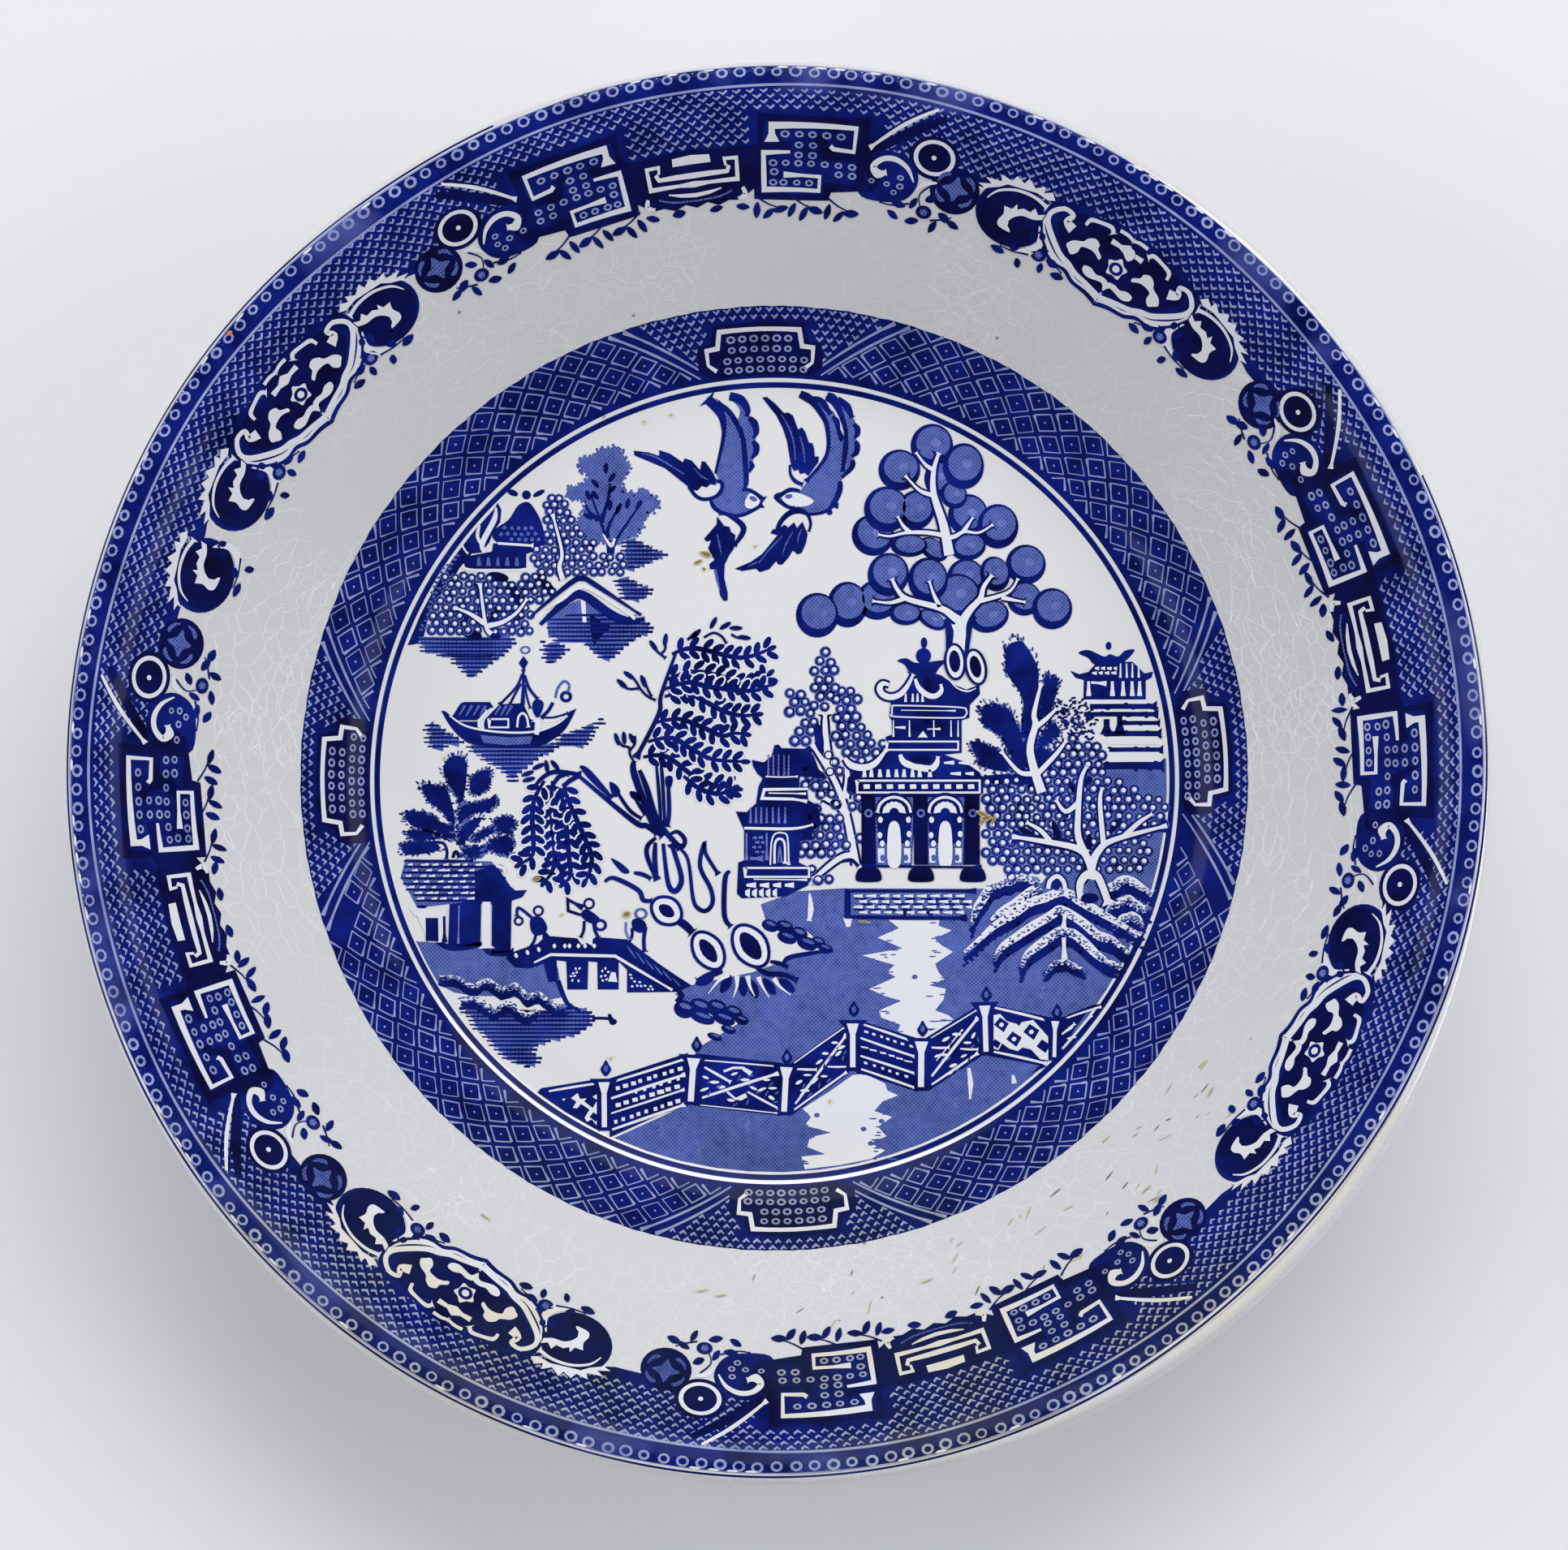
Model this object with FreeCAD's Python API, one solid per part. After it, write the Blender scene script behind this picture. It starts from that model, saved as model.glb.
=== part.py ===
"""A round coupe dish of glazed earthenware: flat floor, sloping wall, out-turned lip and a turned foot ring.

It is one thrown piece of clay with a printed ink film on it and a coat of glaze over everything but the foot.
Every layer is a ring-shaped solid, so the whole dish is made of cross-sections turned about the Z axis.
The origin is on the axis, on the surface that the dish stands on. Sizes are in millimetres.
"""

import FreeCAD
import Part

import math
import os

# Outer form
RIM_RADIUS = 115.0
HEIGHT = 44.0
WALL_THICKNESS = 4.4

# Upper surface, from the middle outwards
FLOOR_RADIUS = 0.53 * RIM_RADIUS
FLOOR_HEIGHT = 8.4
FLOOR_FILLET = 20.0
LIP_FILLET = 16.0
LIP_SLOPE = math.radians(14.0)

# Foot ring
FOOT_OUTER_RADIUS = FLOOR_RADIUS - 0.5
FOOT_WIDTH = 5.0
FOOT_SPLAY = 1.6
FOOT_EDGE_ROUND = 0.8
BASE_HEIGHT = 3.6
BASE_CORNER_RUN = 1.2

# Glaze and ink
GLAZE_THICKNESS = 0.2
GLAZE_LINE = 1.0
INK_THICKNESS = 0.05

# Printed bands, as radii on the upper surface
SCENE_RADIUS = 0.572 * RIM_RADIUS
WELL_BORDER_INNER = 0.586 * RIM_RADIUS
WELL_BORDER_OUTER = 0.69 * RIM_RADIUS
WALL_BORDER_INNER = 0.774 * RIM_RADIUS
WALL_BORDER_OUTER = 0.957 * RIM_RADIUS


def at(radius, height):
    """A point of the cross-section."""
    return FreeCAD.Vector(radius, 0, height)


def line(a, b):
    return Part.LineSegment(a, b).toShape()


def arc(a, middle, b):
    return Part.Arc(a, middle, b).toShape()


def along(angle):
    """The unit vector that points up and outwards at this slope."""
    return FreeCAD.Vector(math.cos(angle), 0, math.sin(angle))


def down_from(angle):
    """The unit vector that points into the clay from an upper surface of this slope."""
    return FreeCAD.Vector(math.sin(angle), 0, -math.cos(angle))


class UpperSurface:
    """The upper surface in section: floor, fillet, straight wall and lip, each tangent to the next.

    A station is a piece of it and a place on that piece. Every surface inside the dish's wall is the same
    curve moved along its normal, so it has the same stations at a depth.
    """

    def __init__(self):
        middle = LIP_FILLET - WALL_THICKNESS / 2
        rim_centre = at(RIM_RADIUS - WALL_THICKNESS / 2, HEIGHT - WALL_THICKNESS / 2)
        self.rim_centre = rim_centre
        self.fillet_centre = at(FLOOR_RADIUS, FLOOR_HEIGHT + FLOOR_FILLET)
        self.lip_centre = rim_centre + down_from(LIP_SLOPE) * middle
        between = self.lip_centre - self.fillet_centre
        self.wall_slope = math.atan2(between.z, between.x) + math.asin(
            (FLOOR_FILLET + LIP_FILLET) / between.Length
        )
        self.wall_start = self.fillet_centre + down_from(self.wall_slope) * FLOOR_FILLET
        self.wall_end = self.lip_centre - down_from(self.wall_slope) * LIP_FILLET

    def station(self, radius):
        """The station at this radius on the upper surface."""
        if radius <= FLOOR_RADIUS:
            return ("floor", radius)
        if radius <= self.wall_start.x:
            return ("fillet", math.asin((radius - FLOOR_RADIUS) / FLOOR_FILLET))
        if radius <= self.wall_end.x:
            return ("wall", radius)
        return ("lip", math.asin((self.lip_centre.x - radius) / LIP_FILLET))

    def station_below(self, radius):
        """The station of the floor or fillet whose normal meets the underside at this radius."""
        if radius <= FLOOR_RADIUS:
            return ("floor", radius)
        return ("fillet", math.asin((radius - FLOOR_RADIUS) / (FLOOR_FILLET + WALL_THICKNESS)))

    def end(self):
        return ("lip", LIP_SLOPE)

    def point(self, station, depth):
        piece, place = station
        if piece == "floor":
            return at(place, FLOOR_HEIGHT - depth)
        if piece == "fillet":
            return self.fillet_centre + down_from(place) * (FLOOR_FILLET + depth)
        if piece == "lip":
            return self.lip_centre - down_from(place) * (LIP_FILLET - depth)
        run = (place - self.wall_start.x) / math.cos(self.wall_slope)
        return self.wall_start + along(self.wall_slope) * run + down_from(self.wall_slope) * depth

    def edges(self, start, end, depth):
        """The curve at this depth from one station out to another."""
        order = ("floor", "fillet", "wall", "lip")
        limits = {
            "floor": (0.0, FLOOR_RADIUS),
            "fillet": (0.0, self.wall_slope),
            "wall": (self.wall_start.x, self.wall_end.x),
            "lip": (self.wall_slope, LIP_SLOPE),
        }
        found = []
        for piece in order[order.index(start[0]) : order.index(end[0]) + 1]:
            first = start[1] if piece == start[0] else limits[piece][0]
            last = end[1] if piece == end[0] else limits[piece][1]
            if abs(last - first) < 1e-9:
                continue
            a, middle, b = (self.point((piece, p), depth) for p in (first, (first + last) / 2, last))
            found.append(arc(a, middle, b) if piece in ("fillet", "lip") else line(a, b))
        return found


def turned(edges):
    """The solid that a closed cross-section makes when it is turned about the Z axis."""
    wire = Part.Wire(Part.__sortEdges__(edges))
    solid = Part.Face(wire).revolve(FreeCAD.Vector(0, 0, 0), FreeCAD.Vector(0, 0, 1), 360)
    return solid if solid.Volume > 0 else solid.reversed()


def band(surface, start, end, top, bottom):
    """A layer between two depths under the upper surface, from one station to another."""
    edges = surface.edges(start, end, top) + surface.edges(start, end, bottom)
    edges.append(line(surface.point(end, top), surface.point(end, bottom)))
    edges.append(line(surface.point(start, top), surface.point(start, bottom)))
    return turned(edges)


def rim_round(surface, depth):
    """The half circle round the edge of the lip, at a depth under the glaze."""
    radius = WALL_THICKNESS / 2 - depth
    inward = down_from(LIP_SLOPE)
    centre = surface.rim_centre
    return arc(centre - inward * radius, centre + along(LIP_SLOPE) * radius, centre + inward * radius)


class Foot:
    """The foot ring in section: a splayed outer side, a flat ground bottom and a sloped inner side."""

    def __init__(self, surface):
        self.top_station = surface.station_below(FOOT_OUTER_RADIUS + FOOT_SPLAY)
        self.outer_top = surface.point(self.top_station, WALL_THICKNESS)
        self.outer_bottom = at(FOOT_OUTER_RADIUS, 0)
        self.inner_bottom = at(FOOT_OUTER_RADIUS - FOOT_WIDTH, 0)
        self.inner_top = at(self.inner_bottom.x - BASE_CORNER_RUN, BASE_HEIGHT)

    def outer(self, height):
        return self.between(self.outer_bottom, self.outer_top, height)

    def inner(self, height):
        return self.between(self.inner_bottom, self.inner_top, height)

    @staticmethod
    def between(low, high, height):
        return low + (high - low) * ((height - low.z) / (high.z - low.z))


def glaze_under(foot, surface):
    """The outline of the clay below the glaze at the foot: where it starts and stops on either side."""
    depth = GLAZE_THICKNESS
    return {
        "wall_root": surface.point(foot.top_station, WALL_THICKNESS - depth),
        "outer_line": foot.outer(GLAZE_LINE),
        "outer_step": foot.outer(GLAZE_LINE) - at(depth, 0),
        "inner_line": foot.inner(GLAZE_LINE),
        "inner_step": foot.inner(GLAZE_LINE) + at(depth, 0),
        "base_corner": foot.inner_top + at(depth, depth),
        "base_middle": at(0, BASE_HEIGHT + depth),
    }


def clay_body(surface, foot):
    """The fired clay: everything inside the glaze, and the bare bottom of the foot."""
    middle, end = ("floor", 0.0), surface.end()
    marks = glaze_under(foot, surface)
    flat_outer = at(FOOT_OUTER_RADIUS - FOOT_EDGE_ROUND, 0)
    flat_inner = at(foot.inner_bottom.x + FOOT_EDGE_ROUND, 0)
    edges = surface.edges(middle, end, GLAZE_THICKNESS)
    edges.append(rim_round(surface, GLAZE_THICKNESS))
    edges += surface.edges(foot.top_station, end, WALL_THICKNESS - GLAZE_THICKNESS)
    corners = [
        marks["wall_root"],
        marks["outer_step"],
        marks["outer_line"],
        foot.outer(FOOT_EDGE_ROUND),
        flat_outer,
        flat_inner,
        foot.inner(FOOT_EDGE_ROUND),
        marks["inner_line"],
        marks["inner_step"],
        marks["base_corner"],
        marks["base_middle"],
        surface.point(middle, GLAZE_THICKNESS),
    ]
    edges += [line(a, b) for a, b in zip(corners, corners[1:])]
    return turned(edges)


def face_glaze(surface, ink_films):
    """The glaze on the upper surface out to the lip, with the ink films lying in its underside."""
    coat = band(surface, ("floor", 0.0), surface.end(), 0.0, GLAZE_THICKNESS)
    return coat.cut(Part.makeCompound(ink_films))


def back_glaze(surface, foot):
    """The glaze round the edge of the lip and down the outside to its line on the foot."""
    marks = glaze_under(foot, surface)
    end = surface.end()
    edges = [rim_round(surface, 0.0), rim_round(surface, GLAZE_THICKNESS)]
    edges += surface.edges(foot.top_station, end, WALL_THICKNESS)
    edges += surface.edges(foot.top_station, end, WALL_THICKNESS - GLAZE_THICKNESS)
    edges.append(line(surface.point(end, 0.0), surface.point(end, GLAZE_THICKNESS)))
    edges.append(line(foot.outer_top, marks["outer_line"]))
    edges.append(line(marks["outer_line"], marks["outer_step"]))
    edges.append(line(marks["outer_step"], marks["wall_root"]))
    return turned(edges)


def base_glaze(surface, foot):
    """The glaze in the recess inside the foot ring."""
    marks = glaze_under(foot, surface)
    corners = [
        at(0, BASE_HEIGHT),
        foot.inner_top,
        marks["inner_line"],
        marks["inner_step"],
        marks["base_corner"],
        marks["base_middle"],
        at(0, BASE_HEIGHT),
    ]
    return turned([line(a, b) for a, b in zip(corners, corners[1:])])


def ink_film(surface, inner_radius, outer_radius):
    """A printed band, lying on the clay under the glaze."""
    start, end = surface.station(inner_radius), surface.station(outer_radius)
    return band(surface, start, end, GLAZE_THICKNESS - INK_THICKNESS, GLAZE_THICKNESS)


def main():
    surface = UpperSurface()
    foot = Foot(surface)
    prints = {
        "scene_print": ink_film(surface, 0.0, SCENE_RADIUS),
        "well_border_print": ink_film(surface, WELL_BORDER_INNER, WELL_BORDER_OUTER),
        "wall_border_print": ink_film(surface, WALL_BORDER_INNER, WALL_BORDER_OUTER),
    }
    nodes = {
        "clay_body": clay_body(surface, foot),
        "face_glaze": face_glaze(surface, list(prints.values())),
        "back_glaze": back_glaze(surface, foot),
        "base_glaze": base_glaze(surface, foot),
        **prints,
    }
    os.makedirs("parts", exist_ok=True)
    for name, shape in nodes.items():
        solids = shape.Solids
        print(f"{name}: {len(solids)} solid(s), {shape.Volume:.1f} mm3, valid {shape.isValid()}")
        shape = solids[0] if len(solids) == 1 else Part.makeCompound(solids)
        shape.exportStep(f"parts/{name}.step")
    print(f"wall slope {math.degrees(surface.wall_slope):.1f} degrees")


main()
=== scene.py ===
"""A blue-printed earthenware dish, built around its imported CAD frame. Lengths are in mm until MM is used."""

import math
import random

import bmesh
import bpy
import numpy as np
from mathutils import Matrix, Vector
from mathutils.geometry import tessellate_polygon


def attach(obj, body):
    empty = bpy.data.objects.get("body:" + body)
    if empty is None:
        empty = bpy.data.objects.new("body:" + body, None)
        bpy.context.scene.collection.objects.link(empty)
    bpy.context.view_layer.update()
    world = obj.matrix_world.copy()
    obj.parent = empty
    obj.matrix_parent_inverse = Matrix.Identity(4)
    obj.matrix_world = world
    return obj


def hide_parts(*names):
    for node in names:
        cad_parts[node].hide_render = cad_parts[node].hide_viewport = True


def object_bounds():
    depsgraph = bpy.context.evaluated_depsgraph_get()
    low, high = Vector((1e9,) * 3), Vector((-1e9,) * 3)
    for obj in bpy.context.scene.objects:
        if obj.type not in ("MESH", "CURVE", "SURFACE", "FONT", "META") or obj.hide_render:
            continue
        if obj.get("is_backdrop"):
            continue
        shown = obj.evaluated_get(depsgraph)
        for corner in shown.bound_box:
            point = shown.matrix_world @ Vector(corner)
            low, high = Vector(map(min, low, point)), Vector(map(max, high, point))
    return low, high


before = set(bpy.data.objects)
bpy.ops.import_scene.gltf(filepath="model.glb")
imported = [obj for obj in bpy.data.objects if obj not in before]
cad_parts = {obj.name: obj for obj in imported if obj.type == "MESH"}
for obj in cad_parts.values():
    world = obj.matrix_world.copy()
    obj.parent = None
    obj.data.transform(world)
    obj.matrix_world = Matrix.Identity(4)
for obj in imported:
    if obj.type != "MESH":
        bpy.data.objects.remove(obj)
cad_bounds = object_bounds()
MM = 0.001

# ---------------------------------------------------------------------------------------------------------
# clay_body. One thrown and turned piece of pale fired clay, from the middle of the lip down to the foot.
# Only the ground edge of its foot ring is bare, dry and a little stained. The curves of the whole dish are
# set out here: floor, fillet, sloping wall and lip, each tangent to the next.

FLOOR_RADIUS = 60.95
FLOOR_HEIGHT = 8.4
FLOOR_FILLET = 20.0
LIP_FILLET = 16.0
LIP_SLOPE = math.radians(14)
WALL_THICKNESS = 4.4
GLAZE_THICKNESS = 0.2
CLAY_DEPTH = 0.21
FOOT_ROOT = 62.05
PLAN_WIDTH = 0.231
RIM_CENTRE = (112.78, 41.71)
FILLET_CENTRE = (FLOOR_RADIUS, FLOOR_HEIGHT + FLOOR_FILLET)
LIP_CENTRE = (
    RIM_CENTRE[0] + math.sin(LIP_SLOPE) * (LIP_FILLET - WALL_THICKNESS / 2),
    RIM_CENTRE[1] - math.cos(LIP_SLOPE) * (LIP_FILLET - WALL_THICKNESS / 2),
)
CENTRES_APART = math.dist(LIP_CENTRE, FILLET_CENTRE)
WALL_SLOPE = math.asin((FLOOR_FILLET + LIP_FILLET) / CENTRES_APART) + math.atan2(
    LIP_CENTRE[1] - FILLET_CENTRE[1], LIP_CENTRE[0] - FILLET_CENTRE[0]
)


def section_point(centre, radius, slope, depth):
    """A point of an arc whose upper side faces the way this slope faces; radius is negative over the lip."""
    reach = radius + depth
    return (centre[0] + math.sin(slope) * reach, centre[1] - math.cos(slope) * reach)


def upper_section(depth, start_slope=None):
    """The upper surface, or the same curve at a depth below it, from the axis (or the fillet) to the lip."""
    points = []
    if start_slope is None:
        points = [(FLOOR_RADIUS * i / 12, FLOOR_HEIGHT - depth) for i in range(12)]
        start_slope = 0
    for i in range(19):
        slope = start_slope + (WALL_SLOPE - start_slope) * i / 18
        points.append(section_point(FILLET_CENTRE, FLOOR_FILLET, slope, depth))
    lip = [
        section_point(LIP_CENTRE, -LIP_FILLET, WALL_SLOPE + (LIP_SLOPE - WALL_SLOPE) * i / 16, depth)
        for i in range(17)
    ]
    low, high = points[-1], lip[0]
    points += [(low[0] + (high[0] - low[0]) * i / 10,
        low[1] + (high[1] - low[1]) * i / 10) for i in range(1, 10)]
    return points + lip


def rim_section(depth):
    """The half round of the lip's edge, from the upper surface to the underside."""
    radius = WALL_THICKNESS / 2 - depth
    angles = [LIP_SLOPE + math.pi / 2 - math.pi * i / 20 for i in range(1, 20)]
    return [(RIM_CENTRE[0] + math.cos(a) * radius, RIM_CENTRE[1] + math.sin(a) * radius) for a in angles]


def under_section(depth):
    """The underside from the lip in to the root of the foot ring."""
    root = math.asin((FOOT_ROOT - FLOOR_RADIUS) / (FLOOR_FILLET + WALL_THICKNESS))
    return upper_section(WALL_THICKNESS - depth, root)[::-1]


def turned(name, section, steps=640):
    """A closed shell: a ring of vertices set to a section of (radius, height) points, spun about Z."""
    bpy.ops.object.select_all(action="DESELECT")
    bpy.ops.mesh.primitive_circle_add(vertices=len(section), radius=0.01)
    piece = bpy.context.object
    piece.name = name
    for vertex, (radius, height) in zip(piece.data.vertices, section):
        vertex.co = (radius * MM, 0, height * MM)
    bpy.ops.object.mode_set(mode="EDIT")
    bpy.ops.mesh.select_all(action="SELECT")
    bpy.ops.mesh.spin(steps=steps, angle=2 * math.pi, center=(0, 0, 0), axis=(0, 0, 1))
    bpy.ops.mesh.select_all(action="SELECT")
    bpy.ops.mesh.remove_doubles(threshold=0.000002)
    bpy.ops.mesh.delete_loose(use_verts=True, use_edges=True, use_faces=False)
    bpy.ops.mesh.select_all(action="SELECT")
    bpy.ops.mesh.normals_make_consistent(inside=False)
    bpy.ops.object.mode_set(mode="OBJECT")
    bpy.ops.object.shade_smooth_by_angle(angle=math.radians(40))
    add_plan_map(piece)
    return piece


def add_plan_map(piece):
    """A texture map that is the plan view of the dish, a little wider than its lip."""
    mesh = piece.data
    layer = mesh.uv_layers.active or mesh.uv_layers.new()
    layer.name = "OFBake"
    corners = np.empty(len(mesh.loops), dtype=np.int32)
    places = np.empty(len(mesh.vertices) * 3, dtype=np.float32)
    mesh.loops.foreach_get("vertex_index", corners)
    mesh.vertices.foreach_get("co", places)
    plan = places.reshape(-1, 3)[corners, :2] / PLAN_WIDTH + 0.5
    layer.data.foreach_set("uv", plan.astype(np.float32).ravel())


class Value:
    """A shader socket. Arithmetic on it adds Math nodes."""

    def __init__(self, shader, socket):
        self.shader = shader
        self.socket = socket

    def math(self, operation, *others):
        return self.shader.node("ShaderNodeMath", {"operation": operation}, *others)[0]

    def __add__(self, other):
        return self.math("ADD", self, other)

    def __sub__(self, other):
        return self.math("SUBTRACT", self, other)

    def __rsub__(self, other):
        return self.math("SUBTRACT", other, self)

    def __mul__(self, other):
        return self.math("MULTIPLY", self, other)

    __radd__ = __add__
    __rmul__ = __mul__

    def above(self, limit, softness):
        """0 below the limit, 1 above limit + softness."""
        settings = {"clamp": True}
        return self.shader.node("ShaderNodeMapRange", settings, self, limit, limit + softness, 0.0, 1.0)[0]


class Shader:
    """One material's nodes, with a Principled surface."""

    def __init__(self, name, colour, roughness):
        self.material = bpy.data.materials.new(name)
        self.material.use_nodes = True
        self.tree = self.material.node_tree
        self.surface = self.tree.nodes["Principled BSDF"]
        self.surface.inputs["Base Color"].default_value = (*colour, 1)
        self.surface.inputs["Roughness"].default_value = roughness
        self.place = self.node("ShaderNodeTexCoord", {})[3]

    def node(self, kind, settings, *inputs, **named):
        """Adds a node, sets it up, fills its inputs by order or by name, and returns its outputs."""
        node = self.tree.nodes.new(kind)
        for key, value in settings.items():
            setattr(node, key, value)
        for key, value in [*enumerate(inputs), *named.items()]:
            self.feed(node.inputs[key], value)
        return [Value(self, socket) for socket in node.outputs]

    def feed(self, socket, value):
        if isinstance(value, Value):
            self.tree.links.new(value.socket, socket)
        elif value is not None:
            socket.default_value = value

    def mix(self, amount, a, b):
        """A colour between two colours."""
        node = self.tree.nodes.new("ShaderNodeMix")
        node.data_type = "RGBA"
        for index, value in ((0, amount), (6, a), (7, b)):
            self.feed(node.inputs[index], (*value, 1) if isinstance(value, tuple) else value)
        return Value(self, node.outputs[2])

    def noise(self, scale, detail=2.0, place=None):
        place = place or self.place
        return self.node("ShaderNodeTexNoise", {}, Vector=place, Scale=scale, Detail=detail)[0]

    def set(self, name, value):
        self.feed(self.surface.inputs[name], value)


def cover(piece, material, slot, *nodes):
    """Gives a piece its material and ties it to the frame."""
    piece.data.materials.clear()
    piece.data.materials.append(material)
    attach(piece, "root")
    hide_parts(*nodes)


biscuit = Shader("Biscuit", (0.72, 0.64, 0.52), 0.85)
stain = biscuit.noise(90.0, 4.0).above(0.5, 0.25)
biscuit.set("Base Color", biscuit.mix(stain * 0.7, (0.74, 0.67, 0.56), (0.5, 0.4, 0.28)))
grain = biscuit.noise(2500.0)
biscuit.set("Normal", biscuit.node("ShaderNodeBump", {}, Strength=0.25, Distance=0.0001, Height=grain)[0])

FOOT_OUTER = 60.45
FOOT_INNER = FOOT_OUTER - 5
foot_section = [
    (FOOT_OUTER + 0.15, 1.0),
    (FOOT_OUTER + 0.05, 0.45),
    (FOOT_OUTER - 0.35, 0.1),
    (FOOT_OUTER - 0.8, 0.0),
    (FOOT_INNER + 0.8, 0.0),
    (FOOT_INNER + 0.25, 0.12),
    (FOOT_INNER - 0.2, 0.5),
    (FOOT_INNER - 0.35, 1.0),
]
clay = turned(
    "clay_body",
    upper_section(CLAY_DEPTH)
    + rim_section(CLAY_DEPTH)
    + under_section(CLAY_DEPTH)
    + [(FOOT_OUTER + 0.1, 1.05)]
    + foot_section
    + [(FOOT_INNER - 0.1, 1.05), (FOOT_INNER - 0.9, 3.81), (0, 3.81)],
)
cover(clay, biscuit.material, "clay", "clay_body")

# ---------------------------------------------------------------------------------------------------------
# face_glaze. Clear lead glaze over the white-slipped upper surface, glossy, with a fine net of crazing
# that is densest on the wall. From a little above the floor up over the lip its colour is mixed half way
# to grey, a painted shade. It runs thin at the lip, and has pale brown stains and a few black specks.

glaze = Shader("Glaze", (0.66, 0.67, 0.68), 0.09)
warped = glaze.node(
    "ShaderNodeVectorMath",
    {"operation": "MULTIPLY_ADD"},
    glaze.node("ShaderNodeTexNoise", {}, Vector=glaze.place, Scale=70.0, Detail=3.0)[1],
    (0.005, 0.005, 0.005),
    glaze.place,
)[0]
cracks = [
    glaze.node(
        "ShaderNodeTexVoronoi", {"feature": "DISTANCE_TO_EDGE"}, Vector=warped, Scale=scale, Randomness=1.0
    )[0]
    for scale in (290.0, 450.0)
]
coarse, fine = cracks[0].above(0.012, 0.02), cracks[1].above(0.012, 0.03)
net = (1 - coarse) + (1 - fine) * glaze.noise(45.0).above(0.5, 0.08)
height = glaze.node("ShaderNodeSeparateXYZ", {}, glaze.place)[2]
on_wall = height.above(0.0095, 0.002)
net = net * on_wall * glaze.noise(30.0).above(0.32, 0.2)
wash = glaze.mix(glaze.noise(14.0, 4.0), (0.75, 0.76, 0.75), (0.70, 0.71, 0.72))
# painted shade: from a little above the floor up over the lip the glaze colour is mixed half way to grey, so
# the wall reads darker than the floor
wash = glaze.mix(on_wall * 0.5, wash, (0.56, 0.57, 0.59))
lip = height.above(0.0425, 0.0014) * glaze.noise(55.0, 3.0).above(0.46, 0.16)
wash = glaze.mix(lip * 0.4, wash, (0.70, 0.64, 0.50))
stain = glaze.noise(24.0, 6.0).above(0.62, 0.1) * glaze.noise(130.0, 4.0).above(0.45, 0.3)
wash = glaze.mix(stain * 0.34, wash, (0.58, 0.52, 0.36))
wash = glaze.mix(net * 0.3, wash, (0.88, 0.88, 0.88))
specks = glaze.node("ShaderNodeTexVoronoi", {}, Vector=glaze.place, Scale=150.0)[0]
specks = (1 - specks.above(0.035, 0.03)) * glaze.noise(33.0).above(0.56, 0.05)
wash = glaze.mix(specks * 0.8, wash, (0.12, 0.12, 0.2))
glaze.set("Base Color", wash)
ripple = glaze.noise(120.0, 2.0)
glaze.set(
    "Normal",
    glaze.node("ShaderNodeBump", {}, Strength=0.3, Distance=0.00004, Height=net + ripple * 0.5)[0],
)
glaze.surface.inputs["Coat Weight"].default_value = 0.5
glaze.surface.inputs["Coat Roughness"].default_value = 0.04

face = turned("face_glaze", upper_section(0) + upper_section(GLAZE_THICKNESS)[::-1])
cover(face, glaze.material, "glaze", "face_glaze")

# ---------------------------------------------------------------------------------------------------------
# back_glaze and base_glaze. The same glaze round the edge of the lip, down the outside, and in the recess
# of the foot. It stops in a line on either side of the foot ring, which was wiped clean to stand in the
# kiln.

back = turned(
    "back_glaze",
    rim_section(0)
    + under_section(0)
    + [(FOOT_OUTER + 0.3, 1.0), (FOOT_OUTER + 0.12, 1.02)]
    + under_section(GLAZE_THICKNESS)[::-1]
    + rim_section(GLAZE_THICKNESS)[::-1],
)
cover(back, glaze.material, "glaze", "back_glaze")
base = turned(
    "base_glaze",
    [
        (0, 3.6), (FOOT_INNER - 1.2, 3.6), (FOOT_INNER - 0.35, 1.0), (FOOT_INNER - 0.15, 1.02),
        (FOOT_INNER - 1.0, 3.8), (0, 3.8),
    ],
)
cover(base, glaze.material, "glaze", "base_glaze")

# ---------------------------------------------------------------------------------------------------------
# wall_border_print. Cobalt ink from an engraved plate, laid on the clay as paper strips before glazing: a
# lattice with key frets, scrolls, round flowers and oval medallions, a few hundredths of a millimetre thick.
# The strips were cut and bent to fit, so the repeats are unevenly spaced and one flower is printed twice.


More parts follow.
